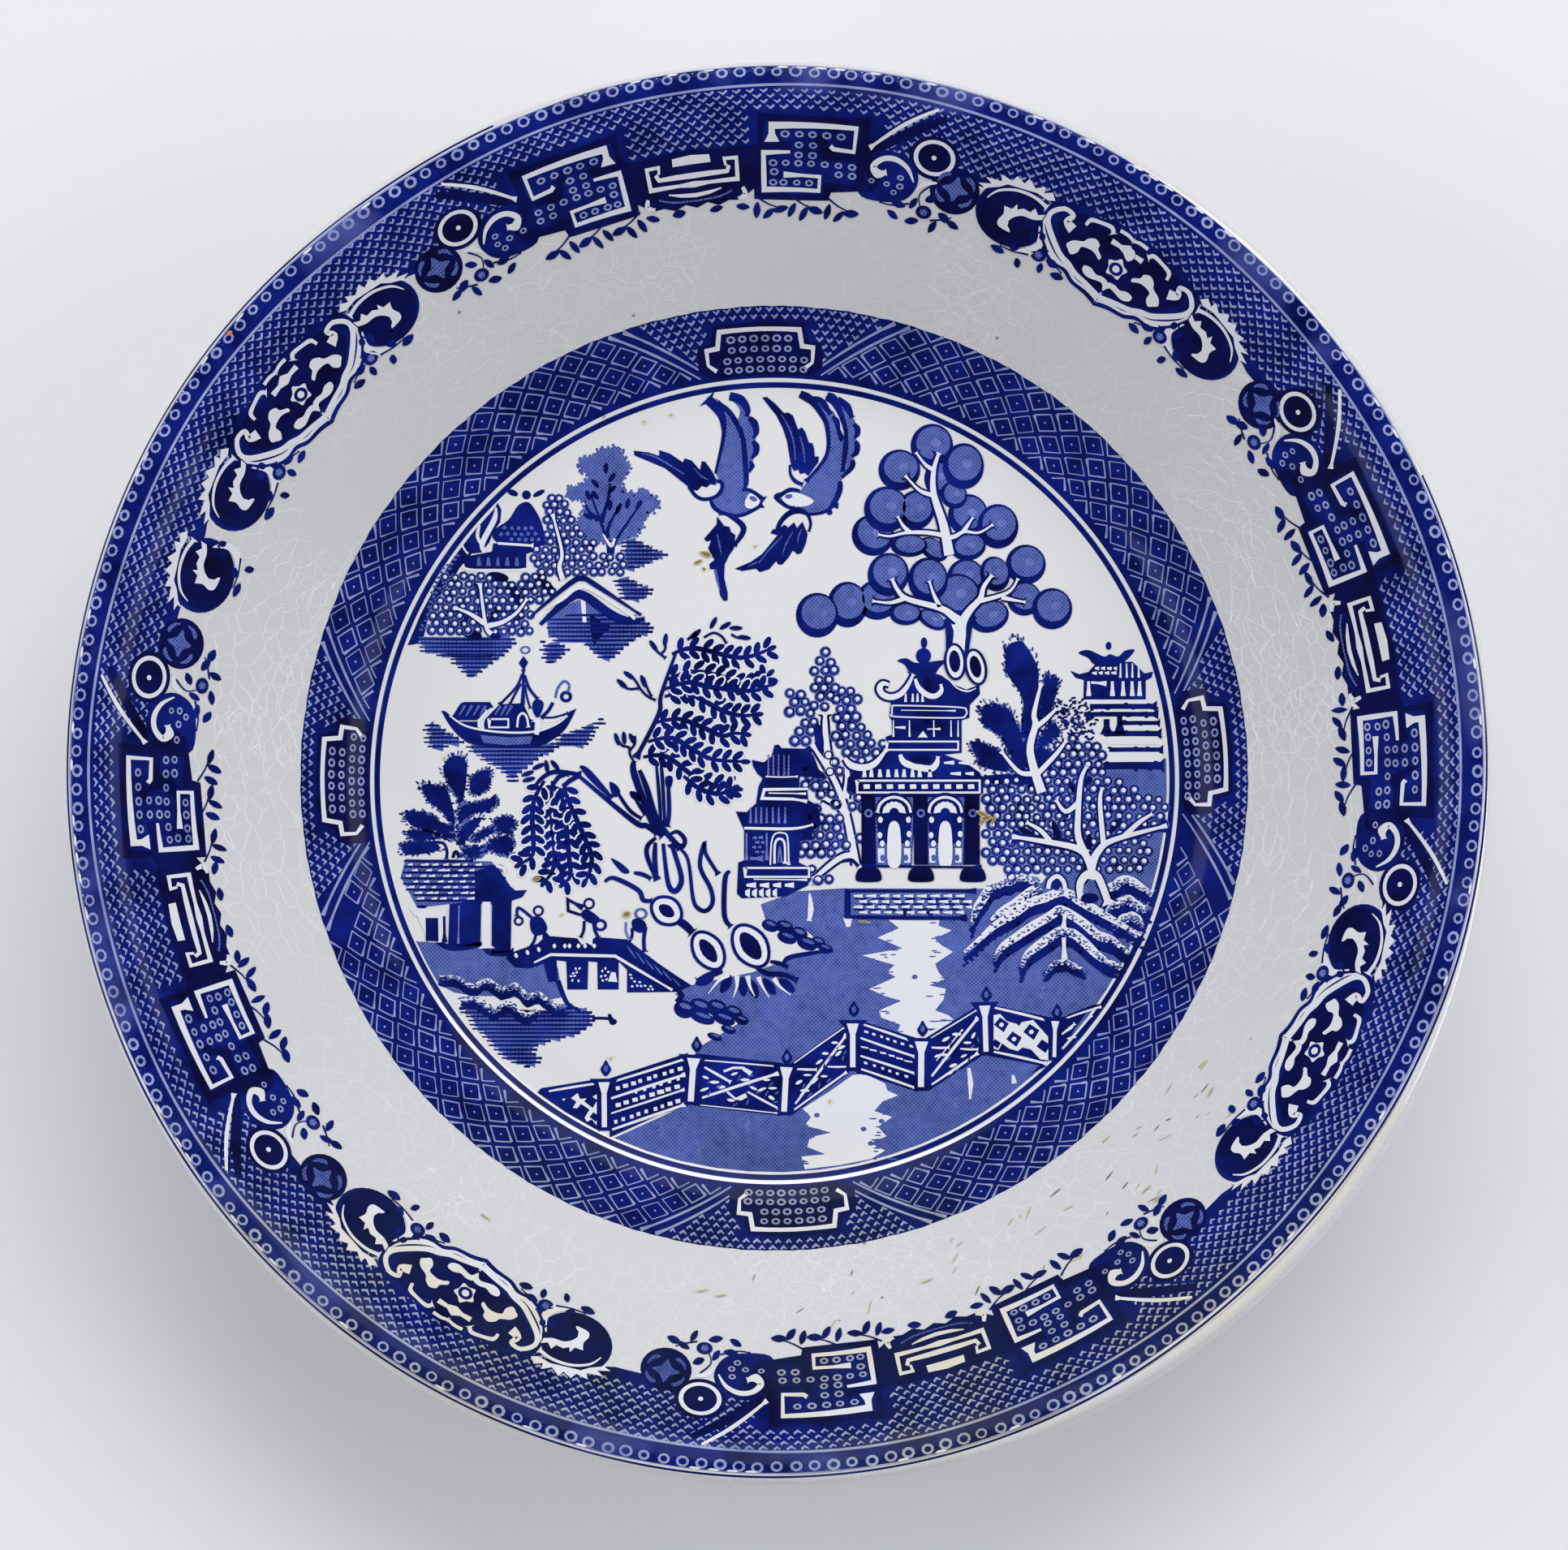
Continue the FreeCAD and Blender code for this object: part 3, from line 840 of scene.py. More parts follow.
def medallion(pen):
    """An oval of deep blue in a white cartouche line, with flowers cut out of it; drawn as one half."""
    pen.use("dark", 4).fill(
        curve([
            (0, 92.7), (1.4, 93.3), (3.2, 93.7), (4.4, 94.6), (6, 94.9), (7.6, 96.4), (8.6, 98.8),
            (8.7, 101), (7.8, 103.3),
        ])
        + [(6.6, 103.6), (5.4, 104.6), (3.6, 104), (2, 104.8), (0, 104.6)],
    )
    pen.use("white", 5).fill(
        curve([
            (0, 93.4), (1.3, 93.9), (3, 94.2), (4.2, 95.1), (5.8, 95.3), (7.4, 96.9), (8.2, 98.9),
            (8.1, 100.9), (7, 103),
        ])
        + [(6, 102), (0, 101)],
    )
    pen.use("dark", 6).fill(
        curve([
            (0, 93.6), (1.2, 94.3), (2.9, 94.6), (4, 95.6), (5.4, 95.9), (6.9, 97.4), (7.9, 99.2),
            (7.9, 101.3), (6.4, 103.4),
        ])
        + [(5.4, 102), (0, 101)],
    )
    pen.use("deep", 7).fill([
        (0, 95), (2, 95.3), (3.4, 96.3), (5, 97), (6.2, 98.4), (6.9, 100.2), (6.6, 101.8), (5.2, 103.2),
        (3.9, 103), (1.7, 102.6), (1.6, 104), (0, 103.7),
    ])
    pen.use("white", 8).stroke(
        [
            (5.4, 100.5), (6.2, 101.2), (5.9, 102.3), (6.9, 102.6), (7.9, 101.2), (7.6, 99.4), (5.6, 96.7),
            (4.2, 95.9), (3.2, 95.2), (1.6, 94.7), (0, 94.1),
        ],
        [1.5, 1.1, 0.7, 0.6, 0.75, 0.85, 0.85, 0.8, 0.75, 0.7, 0.7, 0.8],
    )
    pen.stroke([(4.5, 102), (4.3, 103), (3.4, 103.4), (2.3, 103.6), (1.9, 102.9)],
        [0.5, 0.65, 0.5, 0.6, 0.7])
    pen.stroke([(1.5, 103.9), (0.7, 103.95), (0, 103.7)], [0.5, 0.5, 0.4])
    pen.fill([(0, 102.9), (0.7, 102.3), (1.7, 102.4), (1.7, 101.6), (0.8, 101.7), (0, 101.3)])
    pen.blob([
        (5.3, 98.3), (4.9, 99.2), (4, 99.8), (3.7, 100.5), (3.1, 101), (2.5, 100.6), (2.4, 99.9),
        (1.8, 99.2), (1.9, 98.7), (2.4, 99.1), (3, 99.3), (3.9, 99), (4, 98), (4.5, 97.3), (5, 97.8),
    ])
    pen.blob([(0, 96.6), (0.7, 96.9), (1.4, 96.7), (2.1, 97.1), (2.8, 96.9), (2.7, 96.1), (1.9, 95.7),
        (0.5, 96.1), (0, 95.2)])
    pen.use("dark", 9).stroke([(8.3, 99.4), (7.7, 97.5), (6.6, 95.9)], [0.3, 0.45, 0.3])
    pen.use("dark", 5)
    rosette(pen, 7.3, 95)
    pen.use("dark", 6)
    sprig(pen, [(6.4, 94.9), (5.4, 94.7), (4.4, 94.2)], [(5.7, 94.8, 2.2, 4), (4.7, 93.5, 2.4, -6),
        (6.6, 93.4, 1.5, 80)])


def flower_centre(pen):
    """The five-petalled flower in the middle of a medallion."""
    outline = []
    for k in range(10):
        angle = math.radians(36 * k + 90)
        reach = 1.0 if k % 2 else 1.42
        outline.append((0.78 * reach * math.cos(angle), 99.0 + 1.12 * reach * math.sin(angle)))
    pen.use("white", 9).blob(outline, 3)
    pen.use("dark", 10).oval((0, 98.9), 0.72, 0.95)
    pen.use("white", 11).oval((0, 98.9), 0.36, 0.5)


for group in FRET_GROUPS:
    for side in (-1, 1):
        border.place = sided(group, side)
        key_fret(border)
        trough(border)
        eye_disc(border)
        border.use("dark", 5)
        for start in (6.6, 10.4, 14.2):
            a = start + random.uniform(-0.4, 0.4)
            turn = random.uniform(-15, 15)
            sprig(
                border,
                [(a - 1, 94.6), (a + 0.2, 93.5), (a + 1.4, 92.9)],
                [(a + 1.5, 92.7, 2.7, turn), (a - 0.9, 92.6, 2.3, 70 + turn),
                    (a + 0.3, 92.1, 2.4, 45 - turn)],
            )
        for a in (1.9, 4.6):
            leaf(border, a, 93.2, 2.3, random.uniform(-20, 20))
for centre in MEDALLIONS:
    for side in (-1, 1):
        border.place = sided(centre, side)
        scroll_flower(border)
        medallion(border)
    border.place = sided(centre, 1)
    flower_centre(border)
for angle in (17.1, 53.2, 138.3, 190.4, 227.7, 281.6, 325.8):
    border.place = sided(angle, 1)
    round_flower(border)
border.place = sided(299.6, -1)
scroll_flower(border)
border.lay("wall_border", "wall_border_print")

# ---------------------------------------------------------------------------------------------------------
# well_border_print. A second printed strip round the foot of the wall: four stepped tablets filled with
# ringlets, each between scale marks and a pair of slanting bars, and a diaper of diamonds with dots in the
# rest. A white ring and a thin blue one, cut on the same plate, close it on the inside.

random.seed(11)
WELL_CENTRE = (-0.85, 0.5)
TABLETS = (-2, 86.5, 177.6, 269.5)


def well_place(anchor, side=1):
    """A place round the well, from degrees to one side of an anchor and radius."""

    def place(point):
        angle = math.radians(anchor + side * point[0])
        return (WELL_CENTRE[0] + point[1] * math.sin(angle), WELL_CENTRE[1] + point[1] * math.cos(angle))

    return place


def bar_angle(radius):
    """How far from a tablet's middle its outer slanting bar is, in degrees."""
    return 8.4 + (radius - 68.8) * 1.083


well = Pen()
well.place = well_place(0)
well.use("dark", 1).band(
    0,
    360,
    67.9,
    lambda a: 78.75 + 0.04 * math.sin(a * 0.9) + 0.05 * math.sin(a * 2.3),
    8,
)
well.use("dark", 1).band(0, 360, 66.3, 67.15, 1)
well.use("mid", 1).band(0, 360, 67.15, 67.25, 1)

# diamonds with a thin pale outline and a dot
for row, radius in enumerate((77, 74.9, 72.8, 70.7)):
    for i in range(82):
        angle = (i + row % 2 * 0.5) * 360 / 82
        if nearest(angle, TABLETS) < bar_angle(radius) + 2.1:
            continue
        wide = random.uniform(1.6, 1.82)
        high = random.uniform(1.4, 1.6)
        corners = [(angle - wide, radius), (angle, radius + high), (angle + wide, radius),
            (angle, radius - high)]
        width = random.uniform(0.12, 0.24)
        well.use("haze", 2).stroke([*corners, corners[0]], width, smooth=False)
        well.use("haze", 2).oval((angle, radius), 0.16, 0.16, sides=6)
for i in range(82):
    for radius, angle in ((78.75, (i + 0.5) * 360 / 82), (69, i * 360 / 82)):
        if nearest(angle, TABLETS) > bar_angle(radius) + 1.8:
            tip = -1.35 if radius > 75 else 1.35
            well.use("haze", 2).stroke(
                [(angle - 1.3, radius), (angle, radius + tip), (angle + 1.3, radius)],
                0.2,
                smooth=False,
            )

for anchor in TABLETS:
    # scale marks inside the bars
    for row in range(8):
        radius = 78.3 - row * 1.02
        for i in range(-11, 12):
            a = (i + row % 2 * 0.5) * 1.3
            if abs(a) > bar_angle(radius) - 2.4 or abs(a) < 7.0 + 0.6 * (radius < 74.5) and radius < 76.6:
                continue
            size = random.uniform(0.75, 1.1)
            well.place = well_place(anchor)
            well.use("haze", 2).stroke(
                [(a - 0.42 * size, radius + 0.22), (a, radius - 0.24), (a + 0.42 * size, radius + 0.24)],
                [0.14, 0.36 * size, 0.16],
                smooth=False,
            )
    for side in (-1, 1):
        well.place = well_place(anchor, side)
        for low, high in ((7, 16.9), (8.5, 18.8)):
            well.use("haze", 3).stroke([(low, 68.7), (high, 78.5)], [0.24, 0.42, 0.32], smooth=False)
        well.use("deep", 4).fill([(0, 76.4), (5.6, 76.3), (6.5, 73.7), (8.2, 73.6), (8.6, 70), (7.3, 68.6),
            (0, 68.4)])
        well.use("white", 5).stroke(
            [(0, 75.4), (5.15, 75.35), (5.6, 72.95), (7.1, 72.85), (7.15, 70.6), (6.1, 69.5)],
            [0.65, 0.65, 0.8, 0.7, 0.6, 0.3],
            smooth=False,
        )
    well.place = well_place(anchor)
    for radius, reach in ((74, 2), (72.45, 2), (70.85, 3), (69.35, 3)):
        places = [(k * 1.5 + (0.75 if reach == 2 else 0), radius) for k in range(-reach - 1, reach + 1)]
        well.use("white", 6)
        ringlets(well, places if reach == 2 else [*places, (6, radius)][1:], 0.6, 0.56)
well.lay("well_border", "well_border_print")

# ---------------------------------------------------------------------------------------------------------
# scene_print. The round scene on the floor of the dish, from one engraved plate, in the same cobalt: birds,
# a garden house by water, trees, a bridge, a boat, an island and a fence. Its darks are cut deep and solid,
# its middle tones are a linen of fine dots, and its whites are bare clay under glaze.

random.seed(23)
scene = Pen()


def within(outline, point):
    """Whether a point is inside a shape."""
    crossings = 0
    for (ax, ay), (bx, by) in zip(outline, [*outline[1:], outline[0]]):
        if (ay > point[1]) != (by > point[1]) and point[0] < (bx - ax) * (point[1] - ay) / (by - ay) + ax:
            crossings += 1
    return crossings % 2 == 1


def scattered(outline, pitch, jitter):
    """Places in staggered rows inside a shape."""
    low = min(y for _, y in outline)
    left = min(x for x, _ in outline)
    rows = math.ceil((max(y for _, y in outline) - low) / (pitch * 0.87))
    columns = math.ceil((max(x for x, _ in outline) - left) / pitch)
    for row in range(rows + 1):
        for column in range(columns + 1):
            x = left + (column + row % 2 * 0.5) * pitch + random.uniform(-jitter, jitter)
            y = low + row * pitch * 0.87 + random.uniform(-jitter, jitter)
            if within(outline, (x, y)):
                yield (x, y)


def rings(outline, level, pitch=1.7, size=0.8):
    """Foliage cut as dark rings with white eyes, on a ground of engraved tone."""
    for x, y in scattered(outline, pitch, 0.2):
        r = size * random.uniform(0.9, 1.12)
        scene.use("mid", level - 1).oval((x, y), r * 1.25, r * 1.25, sides=9)
        scene.use("dark", level).hoop((x, y), r, r, 0.68, sides=10)
        scene.use("white", level + 1).oval((x + 0.1 * r, y + 0.12 * r), r * 0.46, r * 0.46, sides=7)


def hatch(outline, level, pitch=0.68, width=0.36, ink="dark"):
    """Level lines of water or ground inside a shape, with uneven ends."""
    y = min(p[1] for p in outline) + 0.2
    while y < max(p[1] for p in outline):
        cuts = []
        for (ax, ay), (bx, by) in zip(outline, [*outline[1:], outline[0]]):
            if (ay > y) != (by > y):
                cuts.append(ax + (bx - ax) * (y - ay) / (by - ay))
        cuts.sort()
        for left, right in zip(cuts[::2], cuts[1::2]):
            left += random.uniform(-0.3, 0.5)
            right += random.uniform(-0.5, 0.3)
            if right - left > 0.6:
                wobble = random.uniform(-0.05, 0.05)
                line = [(left, y), ((left + right) / 2, y + wobble), (right, y)]
                scene.use(ink, level).stroke(line, [width * 0.6, width, width * 1.1, width * 0.5], steps=3)
                if pitch < 0.8 and right - left > 2.4:
                    scene.use("mid", level - 1).stroke([(left + 0.9, y), (right - 0.9, y)], pitch * 1.1,
                        smooth=False)
        y += pitch * random.uniform(0.94, 1.06)


def limbs(lines, width, level, edge=0.42):
    """White branches with a dark line down each side; where they meet they run together."""
    for line in lines:
        scene.use("dark", level).stroke(line, [w + 2 * edge for w in width])
    for line in lines:
        scene.use("white", level + 1).stroke(line, width)


def fruit(x, y, rx, ry, turn, level):
    """A round fruit: engraved tone in a dark line that swells into a shadow at the bottom."""
    scene.use("dark", level).oval((x, y), rx, ry, turn, sides=26)
    scene.use("mid", level + 1).oval((x + 0.07 * rx, y + 0.13 * ry), rx * 0.8, ry * 0.75, turn, sides=22)
    scene.use("pale", level + 2).oval((x + 0.2 * rx, y + 0.12 * ry), rx * 0.24, ry * 0.2, turn, sides=10)


# the bird on the left
scene.use("mid", 3).fill(
    curve([(-12.4, 65.2), (-10.4, 64.8), (-8.8, 63.2), (-7.4, 61.4), (-6.8, 63.2), (-8.6, 65.4),
        (-7.2, 65.6), (-5.6, 64.2)])
    + curve([(-5.2, 62.2), (-4, 60.6), (-4.1, 58.3), (-3.9, 56.2), (-4.6, 54.4), (-5.2, 52.2), (-5.9, 49.6),
        (-4.3, 49.2)])
    + curve([(-2.8, 47.8), (-3.2, 46.9), (-5.2, 45.5), (-8.4, 45.1), (-10.6, 45.9), (-11.3, 47.8),
        (-10, 50.2), (-10.9, 52.4)])
    + curve([(-10.3, 54.6), (-9.6, 58), (-9.9, 61.8), (-12, 64.4)])
)
scene.use("white", 4).blob([(-5.9, 47.4), (-5.1, 48.9), (-3.9, 48.3), (-3.4, 47.4), (-4.4, 46.4),
    (-5.6, 46.5)])
scene.use("mid", 5).oval((-4.5, 48), 0.7, 0.4, -25)
scene.use("dark", 5)
scene.stroke([(-10.9, 52.3), (-9.7, 57.6), (-9.5, 60.2), (-10.1, 62.6), (-12.3, 65)],
    [0.4, 0.6, 0.7, 1.1, 1.5, 1.7])
scene.stroke([(-8.5, 65.4), (-6.6, 64.8), (-5.5, 63.2), (-5.6, 62)], [1.4, 1.5, 1.1, 0.5])
scene.stroke([(-10.6, 64.2), (-8.8, 63), (-7.4, 61), (-6.5, 58.6)], [0.9, 0.9, 0.9, 0.4])
scene.stroke([(-6.6, 60.4), (-6.1, 57.2), (-5.7, 51.6), (-5.9, 49.8)], [0.2, 0.8, 0.9, 0.9, 0.4])
scene.stroke([(-5.2, 61.8), (-4.3, 60.9), (-4, 59.4), (-4.5, 58.3)], [0.8, 1.2, 1, 0.3])
scene.stroke([(-4.6, 57.8), (-4, 57), (-4.1, 55.8), (-4.8, 54.9)], [0.6, 1.1, 1, 0.3])
scene.stroke([(-5, 54.4), (-4.7, 53.6), (-5.2, 52.6)], [0.4, 0.9, 0.4])
scene.stroke([(-6.4, 49.5), (-4.9, 49.4), (-2.6, 47.8)], [0.5, 0.6, 0.6, 0.7])
scene.stroke([(-11.7, 47.9), (-11.1, 46.5), (-9.4, 45.5), (-6.4, 45.2), (-2.9, 47)],
    [0.5, 0.7, 0.7, 0.6, 0.6, 0.6])
scene.stroke([(-15.4, 50.1), (-14.2, 48.5), (-12.7, 47.9), (-10.8, 48.4), (-9.8, 49.6), (-9.9, 50.8),
    (-10.7, 51)], 0.62)
scene.fill([
    (-24.7, 56.2), (-22.2, 55.9), (-20.4, 55.3), (-20.4, 56.3), (-18.6, 55.7), (-16.4, 54.2), (-16.1, 54.9),
    (-14.9, 54.5), (-13.5, 52.9), (-13.2, 54.4), (-12.6, 54.3), (-11.4, 52.6), (-10.7, 51.2), (-10.9, 50.3),
    (-11.7, 50.5), (-12.4, 49.9), (-13.2, 50.2), (-13.9, 49.4), (-14.8, 49.5), (-19.4, 53.2), (-24.6, 55.4),
])
scene.use("mid", 6).stroke([(-23.4, 55.7), (-20.8, 55), (-16.2, 52.2)], [0.1, 0.22, 0.3, 0.1])
scene.stroke([(-14.6, 53.2), (-13.2, 51.8), (-12, 51.2)], [0.1, 0.28, 0.1])
scene.use("dark", 5).fill([
    (-10.6, 45), (-10.7, 43.6), (-12.8, 41.2), (-12.4, 40.7), (-11.6, 40.9), (-12.1, 39.6), (-11.5, 38.3),
    (-11, 37.6), (-11.9, 36.9), (-11.8, 36), (-10.9, 36), (-10.1, 31.6), (-9.5, 30.6), (-8.8, 30.7),
    (-8.8, 32), (-9.4, 34.6), (-9.3, 36.8), (-8.6, 38.3), (-7.7, 39.6), (-7.5, 41.8), (-8.3, 42.4),
    (-8.5, 43.2), (-9.4, 43.4),
])
scene.use("mid", 6).stroke([(-10.9, 35.9), (-10.5, 34), (-10.1, 32.4)], [0.5, 0.4, 0.1])
scene.stroke([(-10.6, 42), (-10.2, 40.2), (-9.9, 38.6)], [0.1, 0.3, 0.1])
scene.use("dark", 5).stroke([(-10.3, 45.5), (-8.6, 45.2), (-6.1, 43), (-7.7, 40)],
    [0.7, 0.5, 0.8, 1, 0.9, 0.5])

# the bird on the right
scene.use("mid", 3).fill(
    curve([(3.4, 65.6), (5.6, 65.2), (8.6, 63.2), (9.4, 62.2), (9.8, 60), (10.8, 59), (9.8, 62.4),
        (7.6, 65.4)])
    + curve([(9.6, 65.2), (11.4, 63.6), (13.2, 60), (12.9, 58.4), (13.2, 56.8), (12.6, 55), (12.3, 53.6)])
    + curve([(11.6, 52.4), (10.3, 51), (9.9, 48.8), (9, 46.8), (7.6, 45.7), (5.2, 45.3), (2.6, 46.4),
        (0.4, 47), (-0.8, 48.1)])
    + curve([(0.8, 49.4), (3.4, 49.4), (4.2, 50.4), (7.8, 54.6), (8.3, 57.6), (7.8, 61.2), (5.8, 63.8)])
)
scene.use("white", 4).blob([(0.3, 48.2), (1.4, 49), (3.4, 48.9), (5.7, 47.7), (4.6, 46.8), (2.6, 46.7),
    (1.2, 47.1)])
scene.use("mid", 5).oval((1.5, 48.4), 0.65, 0.4, 10)
scene.use("dark", 5)
scene.stroke([(3.4, 65.8), (5.2, 64.8), (6.8, 62.8), (8, 60.2), (7.9, 55.4), (4.4, 50.9)],
    [1.2, 1.5, 1.1, 0.9, 0.8, 0.7, 0.6, 0.5])
scene.stroke([(5.6, 65), (7, 64.6), (8.6, 62.4)], [0.8, 0.9, 1.1, 0.5])
scene.stroke([(8.9, 62), (9.6, 61.2), (9.9, 59.8), (10.4, 58.4), (10.4, 57.8)], [0.6, 1, 0.7, 0.9, 0.3])
scene.stroke([(7.9, 65.4), (9.4, 64.4), (11, 60.4), (11.2, 57.8), (10.6, 52.6)],
    [1.4, 1.7, 1.1, 0.7, 0.6, 1, 0.4])
scene.stroke([(9.8, 65), (11.4, 63.6), (12.2, 61.8)], [0.8, 1.3, 0.6])
scene.stroke([(12.5, 60.8), (13.1, 60), (13.1, 59), (12.6, 58.3)], [0.5, 1, 0.9, 0.3])
scene.stroke([(12.8, 57.9), (13.1, 57), (12.9, 55.8), (12.1, 55.2)], [0.5, 1, 0.9, 0.3])
scene.stroke([(12.3, 54.6), (12.2, 53.4), (10.5, 51.6)], [0.7, 0.9, 0.8, 0.3])
scene.stroke([(10.2, 51), (10.1, 49.4), (9.2, 47.4), (8, 46), (6, 45.4), (4.2, 45.5), (2.4, 46.2)],
    [0.7, 1, 0.9, 0.6, 0.5, 0.5, 0.4])
scene.stroke([(8.8, 46.9), (9.9, 46.8)], 0.5)
scene.oval((8.4, 45.7), 0.5, 0.5)
scene.stroke([(3.4, 49.3), (1.8, 49.6), (0.4, 48.8), (-0.6, 48.2), (1.2, 46.7), (2.4, 46.4)],
    [0.6, 0.6, 0.7, 0.9, 0.7, 0.6, 0.5])
scene.stroke([(1.7, 53.8), (1.8, 52.2), (2.6, 51), (3.9, 50.4)], [0.4, 0.5, 0.7, 0.6])
scene.fill([
    (-3, 65.2), (-2.2, 65.3), (-0.8, 64.2), (0.7, 62.6), (1.4, 62.7), (2.2, 62.2), (3.1, 59.8), (3.7, 60.2),
    (4.3, 59.4), (4.9, 57.6), (5.5, 57.5), (5.8, 56.6), (5.9, 55.2), (6.6, 55.2), (6.5, 54.2), (4.8, 51.9),
    (4.2, 52.4), (3.4, 52.2), (3.1, 53), (2.4, 52.7), (1.9, 53.6), (1.2, 57.8), (0.5, 60), (-0.6, 62.2),
    (-2.2, 64.2),
])
scene.use("mid", 6).stroke([(0.2, 62.4), (1.6, 60), (2.4, 57.2), (2.6, 54.6)], [0.1, 0.25, 0.25, 0.1])
scene.stroke([(3.4, 58.6), (4, 56.4), (4.2, 54.2)], [0.1, 0.3, 0.1])
scene.use("dark", 5).fill([
    (-7.6, 36.1), (-5, 37.2), (-3, 38.6), (-0.4, 41.8), (-1.6, 42.1), (-1.2, 42.8), (-0.2, 42.9),
    (0.8, 43.6), (1.4, 43.1), (2.4, 44), (2.9, 43), (3.8, 44.1), (4.7, 42), (4.4, 40.4), (3.7, 38.8),
    (3, 38.5), (2.2, 39.2), (1.4, 37.9), (0.4, 36.8), (-0.3, 36.8), (-0.6, 37.4), (-1.8, 36), (-3.4, 35.5),
    (-4, 36.1), (-6.4, 35.7),
])
scene.use("mid", 6)
for start, end in (((-3.6, 37), (0.4, 41.6)), ((0.4, 38.4), (2.2, 42.4)), ((-5.4, 36.4), (-3.2, 37.4)),
        ((3, 40.4), (3.7, 42.8))):
    middle = ((start[0] + end[0]) / 2 - 0.2, (start[1] + end[1]) / 2)
    scene.stroke([start, middle, end], [0.08, 0.26, 0.08])
scene.use("dark", 5).stroke([(-0.6, 42.2), (0.1, 44), (1.4, 45.4), (3, 46), (4.6, 45.4), (5.2, 43.8),
    (4.9, 42.4)], [0.7, 0.8, 0.9, 1.1, 0.6, 0.5, 0.4])

# the fruit tree
for i, (x, y, rx, ry, turn) in enumerate((
    (25.7, 57, 3.6, 3.7, 0), (20.2, 52.9, 3.55, 3.5, 0), (31, 53.5, 3.5, 3.9, 0), (27, 51.4, 2.6, 3, 0),
    (29.4, 48.6, 2.2, 2.4, 40), (18, 46.2, 3.8, 3.9, 0), (31.8, 45.2, 3.4, 3.6, 0),
    (36.8, 43.3, 3.5, 3.8, 0),
    (23, 46.1, 3.1, 3.4, -15), (15.7, 41.8, 3.6, 3.5, -30), (21.8, 40, 3.1, 1.9, 0),
    (31.8, 39.8, 3, 2.3, 10),
    (25.9, 39.4, 2.7, 1.7, -35), (29.8, 31.4, 4.1, 3.9, 0), (36.3, 35.2, 2.5, 3, 15),
    (41.5, 36.8, 3.4, 3.4, 0),
    (41.2, 31, 2.9, 2.9, 0), (45.9, 29.3, 3.4, 3.5, 0), (16.4, 30.8, 3.5, 3.4, 0),
    (18.3, 35.1, 3.5, 3.7, -15),
    (25, 34.2, 3.4, 3.8, 0), (31.4, 34.6, 3.2, 3.2, 0), (35.3, 28, 3.4, 2.7, 20), (21.2, 28.4, 2.7, 1.9, 0),
    (11.4, 30, 3.4, 3.9, 0), (6.3, 28.2, 3.6, 3.8, 0), (25.6, 27.4, 2.6, 1.4, -30),
)):
    fruit(x, y, rx, ry, turn, 4 + i % 3 * 2)
limbs(
    [
        [(28.6, 38.4), (27.6, 43.6), (26, 48.8), (26, 52.8), (26.9, 55.8)],
        [(30.2, 22.4), (30.4, 26.6), (29.2, 28), (27, 29.4), (21.6, 30.9), (19.9, 32.4), (18.9, 34.4)],
        [(30.6, 23), (30.7, 26.6), (32, 29), (33.8, 31), (34.4, 33), (35.8, 35)],
    ],
    [1.7, 1.4, 1, 0.75, 0.45],
    11,
)
limbs(
    [
        [(26, 52.9), (24.6, 53.8), (23, 55.9)],
        [(25.8, 48.6), (23.6, 49.4), (21.2, 51.9)],
        [(28.2, 41.6), (25, 42.2), (21.4, 42.2), (18.6, 41.6), (16.6, 41.9)],
        [(22, 42.2), (20.8, 43.4), (19.9, 45)],
        [(28, 41.2), (29.6, 41.6), (31.2, 42.4), (33.6, 42.2), (36, 43.6)],
        [(31, 42.4), (31.8, 43.6), (32.6, 44.8)],
        [(27, 29.6), (26, 31.6), (25.2, 34)],
        [(21.2, 31.1), (18.6, 30.3), (15.6, 30.6)],
        [(33, 30.4), (38.4, 32), (40.2, 34.4)],
        [(37.4, 31.2), (39.2, 30.8), (41.4, 30.4)],
    ],
    [0.8, 0.65, 0.4, 0.3],
    11,
    0.32,
)
for x, y, turn in ((29.5, 20.3, 4), (33, 19.4, 12)):
    scene.use("dark", 13).oval((x, y), 1.9, 3.2, turn, 20, 0)
    scene.use("white", 14).oval((x, y), 1.4, 2.75, turn, 20, 0)
    scene.use("deep", 15).oval((x - 0.05, y + 0.05), 0.95, 1.9, turn, 14, 0)
scene.use("dark", 13).stroke([(28, 27.6), (28.6, 25.4), (28.5, 22.4), (28.7, 20.6)], [0.6, 1.4, 1, 0.5])
scene.stroke([(33, 28), (32, 26), (31.3, 20.4)], [0.5, 0.8, 0.9, 0.5])
scene.use("white", 12).fill([(28.8, 26.6), (31.4, 26.6), (31.2, 22), (30, 23.4), (28.9, 22.8)])


def frame_lines(left, right, top, bottom, width):
    """A thin white rectangle."""
    corners = [(left, top), (right, top), (right, bottom), (left, bottom), (left, top + width * 0.3)]
    scene.stroke(corners, width, smooth=False)


def bars(xs, top, bottom, width):
    """Short upright bars."""
    for x in xs:
        scene.stroke([(x, top), (x + random.uniform(-0.06, 0.06), bottom)],
            [width * 0.8, width, width * 0.7])


def dashes(ys, left, right, length, width):
    """Rows of level dashes."""
    for row, y in enumerate(ys):
        x = left + row % 2 * length * 0.6
        while x + length * 0.6 < right:
            end = min(right, x + length * random.uniform(0.8, 1.1))
            scene.stroke([(x, y), (end, y + random.uniform(-0.05, 0.05))], width)
            x = end + length * 0.42


